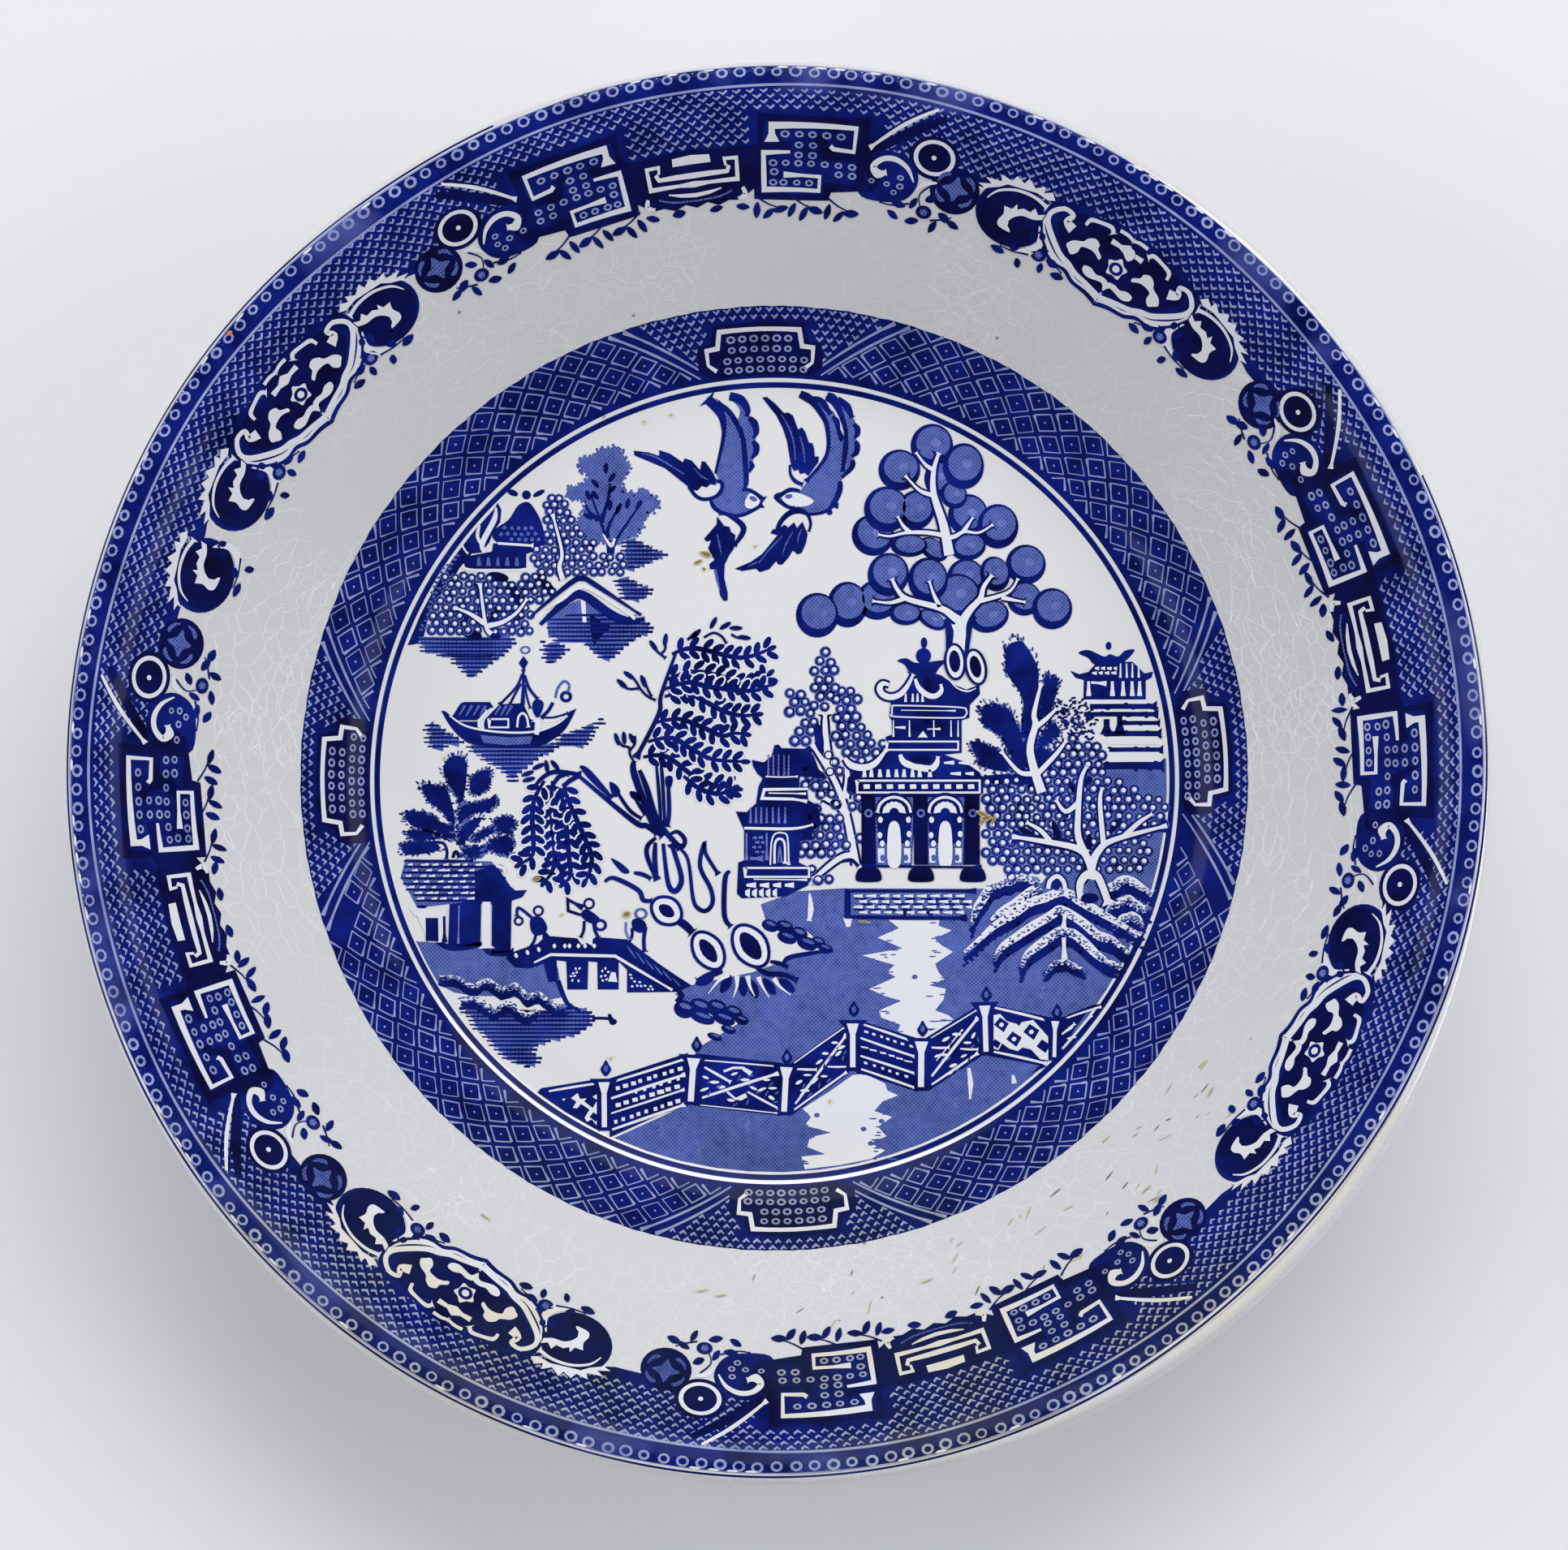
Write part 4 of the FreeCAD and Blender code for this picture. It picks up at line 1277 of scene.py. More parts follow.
# the tree of rings between the house and its side pavilion
limbs(
    [
        [(12.8, -14), (10.2, -2), (5.4, 6.4)],
        [(8.4, 1.4), (7.7, 8), (7.6, 11.4)],
        [(11.4, -5.6), (9.6, -3.8), (7.2, -2.6)],
        [(12.2, -12.4), (9.8, -13), (5.6, -16.4)],
        [(11, -2.8), (11.4, 0.2), (11.2, 2.6)],
    ],
    [1.2, 1.1, 0.9, 0.8, 0.4],
    3,
)
rings([(6.8, 22), (8.6, 22), (10, 19.4), (9.8, 16.4), (8.8, 14), (9.4, 12), (7, 11.4), (5.2, 13.4),
    (5, 19.4)], 5)
rings([(1, 15.6), (3, 15.6), (4.2, 13.8), (4.6, 11.2), (2.6, 10.4), (0.8, 13)], 5)
rings(
    [
        (9.2, 15.6), (11.4, 16.6), (13.4, 14.8), (13.6, 11), (15.4, 9.8), (15.2, 7.6), (17.4, 6.4),
        (17.4, 4), (13.4, 3.4), (9.2, 5.6), (8.6, 8), (9.4, 11),
    ],
    5,
)
rings([(1.6, 9.6), (3.6, 9.8), (4.6, 12.4), (6.4, 11.6), (4.4, 5.6), (2.4, 6.4)], 5)
rings([(7.4, 4.8), (9.4, 4.8), (11, 2.4), (9.8, 0.2), (8.6, 1.2)], 5)
rings([(3.6, 2.8), (7.4, 0.8), (9.4, -2), (10.6, -5.2), (3.4, -1.4)], 5)
rings([(3.4, -4), (7, -4.6), (10.6, -6.4), (11.6, -11.4), (8.4, -11.6), (9.6, -13), (5.4, -12.6),
    (2.6, -13.6), (3.8, -9.8)], 5)
rings([(3.8, -13.4), (6, -13.8), (6.4, -16), (11.2, -16.8), (11, -17.8), (4.4, -17)], 5)
rings([(11.4, -0.4), (13.6, -0.6), (14.2, -5.4), (12.2, -5.8)], 5)
rings([(12.6, -7), (13.8, -6.8), (13.8, -11), (12.8, -10.6)], 5)
scene.use("dark", 5).oval((6.6, 7.4), 0.75, 2.6, 8, 14, 0)
scene.stroke([(10.4, -13.4), (12, -13.2), (13.2, -14.2)], [0.5, 0.7, 0.5])

# the side pavilion
scene.use("dark", 6).fill([
    (-4.7, 3.7), (-2.7, 3.3), (-1.4, 4.3), (-0.9, 6.2), (-0.2, 6.3), (0.3, 5.7), (4.9, 5.6), (5.8, 4.2),
    (6.5, 2.2), (8, 0.5), (3.4, 0.9), (3.2, -1), (4.6, -1.1), (4.8, -3.1), (6.4, -4), (7, -7.2),
    (5.6, -8.2), (5.4, -9.6), (3.4, -10), (3.2, -13.6), (5, -14.4), (4.8, -17.4), (1, -19.3), (-6.4, -19.6),
    (-7.2, -18.8), (-7, -13.6), (-6, -13.2), (-6, -8.2), (-7.4, -5), (-5.6, -5.1), (-4, -3.6), (-3.6, -0.8),
    (-2.9, 0.6), (-3.8, 1.4), (-4.5, 2.6),
])
scene.use("pale", 7)
bars([-1.9, -1.1, -0.2, 0.7, 1.5], 4.6, 1, 0.26)
bars([-4.9, -4, -3.1, -2.2, -1.2, -0.2, 0.9], -4.3, -7, 0.3)
scene.use("white", 7).stroke([(-2.4, 0.9), (0.4, 0.8), (3, 0.9)], 0.22)
scene.stroke([(4.8, -1.2), (-2.6, -1.3), (-3, -2.8), (2.2, -2.9), (4.6, -3.3)], [0.35, 0.5, 0.5, 0.5, 0.3],
    smooth=False)
scene.stroke([(-6, -7.8), (2, -7.9), (5.6, -7.2)], [0.42, 0.5, 0.42, 0.24])
scene.stroke([(-1.9, -1.9), (4.4, -2)], 0.2)
frame_lines(-5.8, 4.9, -14.5, -16, 0.34)
scene.stroke([(-4.4, -16.4), (4.6, -16.5)], 0.2)
dashes([-17.4], -5.6, 3.4, 1.5, 0.42)
dashes([-18.7], -5.8, 0.4, 0.9, 0.7)
scene.stroke([(-1.6, -14), (-1.4, -10.2), (-0.8, -8.8), (0.4, -8.6), (1.3, -9.4), (1.5, -14)], 0.26)
scene.stroke([(-0.9, -13.8), (-0.8, -10.4), (0, -9.6), (0.8, -10.4), (0.9, -13.8)], 0.4)
scene.use("pale", 7)
dashes([-9.4, -10.2, -11, -11.8], -4.6, -2.6, 0.7, 0.24)
scene.stroke([(-5.6, -8.6), (-5.6, -13.2)], 0.3)
scene.stroke([(-2.2, -8.6), (-2.2, -13.2)], 0.3)
scene.stroke([(-5, -12.9), (-2.8, -12.9)], 0.5)
scene.stroke([(-0.3, -13.6), (0, -11), (0.3, -13.6)], 0.24)

# the garden house: finial, two roofs with white horns, windows, frieze, columns, doors and a brick platform
scene.use("dark", 6).oval((24.3, 23.5), 0.55, 0.95)
scene.oval((24.2, 21.3), 1.3, 1.35)
scene.blob([(19.8, 20.5), (21.3, 20.9), (23, 20.1), (26, 20.4), (27.9, 20.5), (26.8, 19.2), (25.8, 18),
    (23, 18.2), (21.8, 18.6), (21, 19.8)])
scene.fill([
    (18.7, 14), (20.6, 14.6), (22.8, 18.4), (25.8, 18.4), (27.2, 18), (29.4, 16.4), (31.4, 15.6),
    (33.6, 16.4), (33.7, 14.8), (32, 13), (31.9, 10.8), (30.6, 10.4), (30.6, 4.9), (27.6, 4.6), (31, 3.4),
    (33.6, 1.6), (34.2, 0.4), (34.2, -1.8), (33.6, -2.4), (33.6, -14), (22.6, -14), (22.6, -8), (22, -14.2),
    (13.7, -14.2), (13.7, -2.4), (11.2, -1.4), (11.4, 0.6), (13, 2.6), (16.6, 3.2), (18, 4.8), (17.8, 7.6),
    (18.9, 8), (18.8, 10.4), (18.4, 11),
])
horns = (
    ([(18.4, 16.4), (17.3, 16.6), (16.8, 15.7), (17.4, 14.7), (18.8, 14.3), (20.4, 14.9), (21.6, 16.4),
        (22.5, 18.2)], 1),
    ([(22.8, 17.4), (23.4, 15.9), (24.8, 14.7), (26.2, 14.5), (27.2, 15.4), (27.1, 16.5)], 0.9),
    ([(10.9, 4), (12, 2.8), (14, 2.4), (16, 3.1), (17.9, 5.4)], 1.1),
    ([(20.2, 4.6), (21.2, 3.1), (25, 2.2), (26.3, 3), (26.6, 4.3)], 1.1),
)
for line, width in horns:
    scene.use("dark", 6).stroke(line, [w * width + 0.8 for w in (0.5, 1, 1, 0.9, 0.4)])
    scene.use("white", 7).stroke(line, [w * width for w in (0.5, 1, 1, 0.9, 0.35)])
scene.use("deep", 8).oval((24.9, 16.5), 0.75, 1.3, 10)
scene.oval((23.7, 3.7), 1.9, 0.75)
scene.use("white", 7).stroke([(28.4, 17.4), (29.8, 15.9), (31.6, 15.3), (33, 15.8)], [0.1, 0.24, 0.3, 0.1])
scene.stroke([(18.9, 12.7), (19.8, 12.9), (30, 12.6), (31.4, 12), (31.2, 11.2), (29.8, 10.8), (19.6, 11),
    (18.9, 11.6), (18.9, 12.7)], 0.24)
bars([21.2, 22.4, 23.2, 24], 14.9, 13.5, 0.3)
scene.stroke([(20.4, 12.1), (29.6, 12)], 0.14)
bars([19.1, 21.8], 10.4, 7.6, 0.22)
bars([25.9, 28.8, 30], 10.4, 7.6, 0.2)
scene.fill([(23.2, 7.5), (24.9, 7.5), (24.1, 8.6)])
dashes([9.2], 19.4, 21.6, 1.6, 0.22)
dashes([8.9], 24.8, 28.8, 2.4, 0.2)
frame_lines(18, 30, 6.8, 5.4, 0.3)
bars([14.2, 15.4, 16.8, 18.2, 19.6, 20.9, 22.3, 23.5, 25.2], 2.1, 0.8, 0.5)
dashes([3.2, 1.4], 27.6, 32.6, 1.8, 0.3)
frame_lines(13, 33.6, 0.2, -1.8, 0.34)
for k in range(10):
    x = 14.6 + k * 1.95
    scene.fill([(x - 0.55, -0.45), (x + 0.5, -0.4), (x + 0.55, -1.15), (x - 0.5, -1.2)])
for middle in (19.2, 27.8):
    scene.use("mid", 7).fill([(middle - 3.2, -2.6), (middle + 3.2, -2.6), (middle + 3, -14),
        (middle - 3, -14)])
    scene.use("dark", 8).oval((middle, -5), 3.2, 3.2, 0, 22)
    scene.fill([(middle - 3, -5.4), (middle + 3, -5.4), (middle + 2.6, -10.4), (middle - 2.6, -10.4)])
    arch = [(middle + 2.8 * math.cos(math.radians(a)),
        -5.2 + 2.6 * math.sin(math.radians(a))) for a in range(0, 181, 30)]
    scene.use("white", 9).stroke(arch, 0.45)
    for k in range(7):
        a = math.radians(15 + 25 * k)
        scene.stroke(
            [(middle + 0.8 * math.cos(a), -5.2 + 0.8 * math.sin(a)),
                (middle + 1.9 * math.cos(a), -5.2 + 1.8 * math.sin(a))],
            [0.3, 0.55],
        )
    scene.blob([(middle - 1, -13.9), (middle + 1, -13.9), (middle + 1, -8), (middle, -6.6),
        (middle - 1, -8)])
    for x, y in ((-2.3, -6.4), (2.4, -6.4), (-2.4, -9), (2.5, -8.8), (-2, -10.4), (2.2, -10.4)):
        scene.oval((middle + x, y), 0.42, 0.55, sides=8)
    for x in (-2.2, 2.2):
        scene.fill([(middle + x - 0.55, -11.2), (middle + x + 0.55, -11.2), (middle + x + 0.5, -13.6),
            (middle + x - 0.5, -13.6)])
        scene.use("mid", 10).oval((middle + x * 0.9, -12.8), 0.4, 0.6, sides=8)
        scene.use("white", 9)
for x in (14.9, 23.7, 32.4):
    scene.use("deep", 9).fill([(x - 1.15, -2.2), (x + 1.15, -2.2), (x + 1.2, -13.8), (x - 1.2, -13.8)])
    scene.use("pale", 10).hoop((x, -5.3), 0.72, 0.72, 0.5, sides=12)
    scene.use("deep", 9).blob([(x - 2.1, -16.6), (x - 1.9, -15), (x - 1, -14.4), (x + 1, -14.4),
        (x + 1.9, -15), (x + 2.1, -16.6), (x, -16.9)])
scene.use("dark", 9).stroke([(13.8, -14.2), (23, -14.3), (33.9, -14.4)], 0.42)
scene.use("mid", 6).fill([(11, -18.2), (33.6, -18), (32.2, -20.4), (31.8, -23), (11, -22.8)])
scene.use("dark", 7).stroke([(11.6, -18.4), (33, -18.4)], 0.5)
scene.stroke([(11, -22.7), (22, -22.9), (31.4, -22.9)], [0.6, 0.7, 0.6])
scene.fill([(10.9, -18), (11.9, -18.2), (11.9, -22.9), (10.8, -22.9)])
scene.stroke([(22.2, -18.9), (20.6, -22.4)], 0.5)
scene.stroke([(26.8, -18.9), (25, -22.4)], 0.5)
dashes([-19.7, -20.6, -21.5], 12.4, 32, 2, 0.22)
scene.use("white", 8)
dashes([-19.2, -20.15, -21.05, -21.95], 12.4, 32.2, 1.5, 0.26)


def shore(start, end, radius=65.9):
    """Points along the inner line of the well border."""
    count = max(2, round(abs(end - start) / 5))
    return [well_place(0)((start + (end - start) * i / count, radius)) for i in range(count + 1)]


def feather(outline, level, ragged=0.5):
    """A dark leaf mass whose outer edge breaks up into short dabs."""
    scene.use("dark", level).blob(outline)
    line = curve(outline, True, 5)
    middle = (sum(x for x, _ in line) / len(line), sum(y for _, y in line) / len(line))
    for x, y in line:
        for _ in range(2):
            reach = 1 + random.uniform(-0.25, ragged) * 0.32
            spot = (middle[0] + (x - middle[0]) * reach + random.uniform(-0.3, 0.3),
                middle[1] + (y - middle[1]) * reach)
            turn = math.degrees(math.atan2(y - middle[1], x - middle[0]))
            scene.use(random.choice(("dark", "mid")), level).oval(spot, random.uniform(0.2, 0.45), 0.17,
                turn, 6)


def ridge(points, level, white=1.5, dark=1.9):
    """A ledge of rock: a dotted white crest over a dark side."""
    line = [(x, y + random.uniform(-0.25, 0.25)) for x, y in curve(points, False, 3)]
    ends = [0.3, 1, 1, 1, 0.3]
    scene.use("dark", level).stroke([(x, y - white * 0.3 - dark / 2) for x, y in line],
        [dark * e for e in ends], steps=3)
    scene.use("white", level + 1).stroke(line, [white * e for e in ends], steps=3)
    for x, y in curve(line, False, 3):
        size = random.uniform(0.14, 0.26)
        scene.use("dark", level + 2).oval((x + random.uniform(-0.3, 0.3),
            y - white * random.uniform(0.15, 0.75)), size * 1.3, size, 0, 6)
        for _ in range(2):
            spot = (x + random.uniform(-0.4, 0.4), y + random.uniform(-0.5, 0.4))
            scene.use("mid", level + 2).oval(spot, 0.24, 0.14, 0, 6)
        scene.use("dark", level).oval((x, y - dark - white * 0.2), random.uniform(0.2, 0.4), 0.3, 0, 6)


# the ground and the water in front of the house, with two bright reflections in it
scene.use("mid", 1).fill(
    [(-3.2, -20.6), (3, -18.4), (10.9, -17.9), (33.6, -18), (44, -17), (54, -2), (54.2, 2.4)]
    + shore(87, 204)
    + [
        (-16, -54.4), (-14.4, -46), (-13.6, -44.6), (-6, -40), (-8, -37.8), (-17.2, -37), (-17.2, -35.2),
        (-15, -34.2), (-4.6, -32), (4, -29), (8.4, -28.4), (4.4, -25), (-2.4, -23.2),
    ],
)
scene.use("white", 2).fill([
    (18.2, -23.2), (20, -24.6), (16.4, -26.2), (20.6, -28), (13.8, -29.2), (19.2, -30.8), (18, -32),
    (19.4, -32.8), (15, -34.8), (17.6, -36), (20.4, -36.8), (16.6, -38.4), (17, -39.6), (20.2, -40.8),
    (19.4, -42.6), (24.6, -43.6), (27, -41.4), (29.4, -40.2), (28.2, -39.2), (26, -38.4), (27.4, -36.6),
    (27.8, -34.8), (25, -34.2), (27.6, -33.2), (26.6, -32), (26, -30.6), (29, -28.6), (27, -27.4),
    (26, -26.4), (28.8, -25), (26.6, -24.2), (26.8, -23.2),
])
scene.fill([
    (8.4, -51.9), (12.2, -49.2), (14.2, -49), (17.6, -50.6), (18, -51.8), (19.8, -52.6), (17.2, -53.6),
    (15.8, -55.2), (18.8, -56.2), (16.4, -57.8), (17.8, -59.4), (15.2, -60.6), (17.6, -61.8), (15.2, -63.2),
    (10, -64.2), (4.2, -64.9), (3.6, -62.8), (7.6, -62.4), (4.6, -61.2), (5, -59.6), (8.6, -58.8),
    (4.2, -57.6), (5.2, -56.2), (3.8, -54.8),
])
scene.stroke([(5, -18.8), (5.2, -21.4), (4.9, -23.4)], [0.3, 1, 0.5])
scene.stroke([(31.6, -48), (31.9, -50.6), (31.8, -53.2)], [0.5, 0.9, 0.2])
scene.stroke([(11.4, -22.8), (11.5, -24.4)], [1.6, 0.3])
scene.stroke([(39, -49.2), (39.2, -50.6)], 0.4)
scene.use("pale", 3)
for x, y in ((-11.5, -56.4), (-5.6, -56.6), (-13.4, -60.8), (-20, -57.4), (44, -34.6), (48.6, -35.2),
        (29.6, -52.8), (7.6, -23.8)):
    for k in range(7):
        scene.oval(
            (x + random.uniform(-0.5, 0.5), y - k * 0.3 + random.uniform(-0.2, 0.2)),
            0.3,
            0.14,
            0,
            6,
        )
scene.use("mid", 3)
for x, y in ((17, -56.9), (14, -58.2), (15.2, -60.6), (6.2, -55.9), (5, -58.6), (22.6, -32.8)):
    scene.oval((x, y), 0.5, 0.4, 0, 9)
for k in range(60):
    y = random.uniform(-42, -23.5)
    x = random.choice((random.uniform(15.5, 20), random.uniform(25, 28.6)))
    scene.oval((x, y), random.uniform(0.4, 1), 0.13, 0, 6)
for k in range(36):
    x = random.choice((random.uniform(3.6, 6.2), random.uniform(15.4, 19)))
    scene.oval((x, random.uniform(-64, -55)), random.uniform(0.3, 0.8), 0.14, 0, 6)

# feathered plants to the right of the house
for outline in (
    [(38.2, 22.6), (39.4, 23.6), (41.2, 23.4), (43.6, 18.8), (42.9, 14.2), (42.6, 8.4), (41.9, 7.2),
        (41.1, 7.6), (40.6, 10), (41, 12.6), (40.6, 14.8), (38.2, 18.4), (38, 20.6)],
    [(44.7, 17.9), (45.6, 18), (46.7, 17.2), (46.8, 15.6), (45.4, 11.6), (44, 10.5), (43.2, 11.2),
        (44, 15.2)],
    [(33.8, 12.4), (35.4, 13.2), (37.8, 12.8), (39.2, 11.4), (40, 9.4), (41.2, 8), (42, 5.6), (41.8, 2.4),
        (41, 1.6), (39.6, 2.4), (38.4, 5.4), (36.6, 8), (34.6, 9.4), (34, 11)],
    [(32.2, 6.2), (33.6, 6.8), (35.6, 5.8), (37.2, 5.2), (38.9, 1.8), (33.8, 2.6), (32.9, 4.4)],
    [(43.4, 7.2), (45.6, 10.2), (47.2, 8.2), (44.6, 5.9), (43.4, 6)],
    [(42.2, 4.2), (43.2, 5.5), (44.9, 5.4), (45.3, 3.8), (44.4, 2.3), (42.9, 2), (42.2, 2.8)],
    [(33.8, 0.9), (41.6, 1.2), (44, -1.8), (42.4, -1.6), (40.4, -0.4), (36, -0.3)],
):
    feather(outline, 4)
for _ in range(150):
    x, y = random.uniform(46.2, 53.4), random.uniform(7.2, 14.2)
    if x + y * 0.6 > 53.4 and x + y < 65:
        scene.use("dark", 4).oval((x, y), random.uniform(0.3, 0.5), 0.2, random.uniform(-60, 60), 7)
rings([(34.4, 0.6), (38, 0.7), (41, 0), (43.4, -2), (45.8, 6), (48.4, 7.6), (54.4, 7), (55.4, 4.6),
    (53.6, 2.2), (57.6, 0.6), (60, -1.8), (64.6, -2.2), (65.4, -7.6), (62, -9.2), (61.8, -15.6),
    (57.4, -15.8), (54, -14.6), (50.6, -15.6), (39, -16.2), (35.6, -14.2), (33.9, -10.4), (33.9, -7.4),
    (36, -6), (34.2, -2)], 4)
limbs(
    [
        [(44, -1.8), (42.1, 5), (43, 9.6), (42.8, 11.6), (44, 16.6)],
        [(52.1, -16.4), (52.2, -14.2), (50.2, -9.6), (50.1, -5.6), (50.6, 0.2), (51.6, 2.6)],
        [(52.2, -14.4), (53.4, -11.8), (56, -9.8), (65, -7.4)],
        [(51.6, -12.2), (48.6, -10.8), (39, -9.2)],
    ],
    [1.6, 1.2, 1, 0.8, 0.4],
    6,
)
limbs(
    [
        [(42.6, 1.4), (40.2, 1.7), (37.2, 5.2)],
        [(43, 1), (46.4, 4.6), (48.2, 7)],
        [(43, 9.2), (44.8, 10.6), (46.6, 12.4)],
        [(45.6, -10.3), (43.8, -8.2), (41.4, -6.8)],
        [(54.4, -11), (53.8, -3.6), (54.2, -1)],
        [(50.1, -3.6), (48, -5), (46.4, -3)],
        [(57.8, -9.2), (60.4, -6.8), (62.6, -5.4)],
    ],
    [0.9, 0.7, 0.4],
    6,
    0.3,
)
scene.use("deep", 5)
for x, y, turn in ((51.9, -10.4, 88), (47.6, -4.6, -60), (46.4, -8.2, -70), (41.6, -8.6, -30),
        (49.4, -1.2, -55), (51.2, -0.4, 45), (56.4, -7.4, 50), (60.6, -7.6, 30)):
    scene.oval((x, y), 1.7, 0.55, turn, 12)

# the far pavilion on its terraces, running off under the border
scene.use("dark", 4).oval((55.4, 23), 0.5, 0.7)
scene.blob([(50.3, 21.8), (52, 22.3), (54.6, 21.2), (55.6, 21.6), (57, 21.2), (58.2, 22.2), (59.8, 22.2),
    (57.2, 19.8), (53.2, 19.8), (52, 20.9)])
scene.fill([
    (48.9, 18.8), (50.4, 18.2), (52, 18.6), (53.4, 20.2), (59.4, 20.3), (61.4, 18.3), (62.8, 18.6),
    (62.6, 17.6), (61.6, 17.1), (61.6, 13.9), (51.1, 13.9), (51.2, 17.2), (49.8, 17.6),
])
scene.use("white", 5)
bars([52, 56, 57.8, 59.3, 60.6], 17, 14.5, 0.55)
scene.stroke([(52.4, 16.8), (55, 16.6)], 0.4)
bars([57.4, 58.4, 59.4, 60.4], 20, 17.6, 0.26)
dashes([18.4, 19.2], 52.6, 56.8, 0.8, 0.28)
for y, left, width in ((13.5, 51.4, 0.8), (12, 51.6, 0.6), (10.7, 57.4, 1), (9.1, 57, 0.9), (7, 55.2, 1.4),
        (4.2, 55, 1.7)):
    right = math.sqrt(65.6**2 - y**2) - 0.9
    scene.use("white", 3).stroke([(left, y), ((left + right) / 2, y + 0.05), (right, y)], width)
for y, left, width in ((12.7, 52.2, 0.9), (11.4, 51.2, 0.8), (9.9, 57, 0.7), (8.1, 54.7, 0.9),
        (5.4, 55.4, 0.75), (2.7, 54.4, 1.2)):
    right = math.sqrt(65.6**2 - y**2) - 0.9
    scene.use("dark", 4).stroke([(left, y), ((left + right) / 2, y + 0.05), (right, y)], width)
    for _ in range(int((right - left) * 1.2)):
        scene.oval((random.uniform(left, right), y + random.uniform(-0.6, 0.6) * width), 0.4, 0.2, 0, 6)
scene.stroke([(57.2, 11.6), (57.2, 8)], 0.9)
scene.stroke([(55, 10.6), (55, 8)], 1)

# rocks on the right, in dotted ledges
for level, points in (
    (3, [(32.2, -24), (33, -21.4), (35, -18.4), (37.6, -16.8), (40.6, -16.2), (43.4, -16.8)]),
    (3, [(35.4, -23.2), (41, -19.2), (43.8, -17.8)]),
    (4, [(30.9, -28.4), (39, -22.2), (47.2, -18.6), (52.2, -21.2), (60.6, -25.8)]),
    (6, [(36, -29.8), (37.6, -27.6), (45, -22.6), (47.8, -21.9), (53, -25.4), (56, -26.6), (58.2, -28.6)]),
    (
        8,
        [(40.4, -31.4), (41.6, -29), (45.4, -26.2), (47.8, -25.2), (50, -26.2), (54.2, -29.8), (57, -30.8)],
    ),
    (3, [(54.4, -19.2), (56.2, -17.4), (58.2, -16.7), (62.6, -18.8)]),
    (3, [(54.6, -22), (56.6, -20.4), (58.6, -19.9), (60.6, -21.2), (62, -21.4)]),
    (3, [(56.2, -24.4), (57.8, -22.8), (59.6, -23), (60.8, -24.2)]),
):
    ridge(points, level)
ridge([(44.4, -32), (46.2, -30.6), (48.6, -30.4), (51, -31.8)], 9, 0.9, 1.2)
limbs([[(50.5, -19.6), (50.4, -17.2), (51.6, -15.6), (53.4, -16), (55.2, -20.6)]], [1.1, 1.3, 1.1], 6, 0.3)
scene.use("mid", 8).oval((52, -18.4), 1.2, 1.4)
scene.use("dark", 9).oval((52, -19.6), 1.5, 0.9)
limbs([[(45, -18), (45.4, -16.6), (46.6, -15.9), (47.6, -16.8), (47.9, -18.2)]], [0.7, 0.7], 6, 0.3)
scene.use("dark", 8).oval((46.4, -17.4), 0.7, 0.9)
scene.use("white", 10).stroke([(47.8, -22.4), (47.6, -24.4)], [0.7, 0.4])
scene.stroke([(47.6, -26.2), (47.7, -29.8)], [0.7, 0.5])

# the dark rocks of the near bank: rounded lumps, each with a paler top


def lump(x, y, rx, ry, turn=-20):
    """A round dark rock with an engraved top."""
    scene.use("dark", 4).oval((x, y), rx, ry, turn, 16)
    scene.use("mid", 5).oval((x + 0.1 * rx, y + 0.35 * ry), rx * 0.6, ry * 0.3, turn, 10)


for x, y, rx, ry in (
    (-1.6, -24.2, 1.5, 1), (0.8, -24.4, 1.5, 1.1), (1.2, -26.2, 1.7, 1), (3.2, -25.6, 1.5, 1.2),
    (4.6, -27.2, 1.8, 1.1),
    (6.4, -27, 1.3, 0.9), (7.6, -28, 1.4, 0.7), (-16, -38.2, 1.8, 1.5), (-13.4, -37.9, 1.9, 1.5),
    (-13, -39.6, 2.2, 1),
    (-10.6, -38, 1.8, 1.4), (-9.4, -39.8, 2, 1), (-7.8, -38.8, 1.6, 1.2), (-6.4, -40, 1.2, 0.8),
    (-8.6, -41.6, 1.3, 0.7),
    (-10.9, -42.8, 1.3, 0.6),
):
    lump(x, y, rx, ry)
scene.use("dark", 3).stroke([(0.6, -30.4), (2, -29.4), (8, -28.4)], [0.5, 0.8, 0.8, 0.5])
scene.stroke([(-17.3, -37), (-16.4, -36), (-17, -35.2)], 0.9)


def frond(spine, level):
    """A hanging willow spray: dark leaflets in pairs on a stem, with a white line round them."""
    line = curve(spine, False, 10)
    scene.use("dark", level + 1).stroke(line, [0.5, 0.9, 0.8, 0.4], smooth=False)
    run = 0.0
    for (ax, ay), (bx, by) in zip(line, line[1:]):
        run += math.dist((ax, ay), (bx, by))
        if run < 1.6:
            continue
        run = 0.0
        along = math.degrees(math.atan2(by - ay, bx - ax))
        for side in (-1, 1):
            a = math.radians(along + side * 90)
            reach = random.uniform(0.95, 1.2)
            spot = (bx + reach * math.cos(a), by + reach * math.sin(a))
            turn = along + side * random.uniform(38, 58)
            scene.use("white", level).oval(spot, 1.42, 0.86, turn, 10)
            scene.use("dark", level + 1).oval(spot, 1.14, 0.58, turn, 10)
    scene.use("dark", level + 1).oval(line[-1], 0.9, 0.45, along, 9)


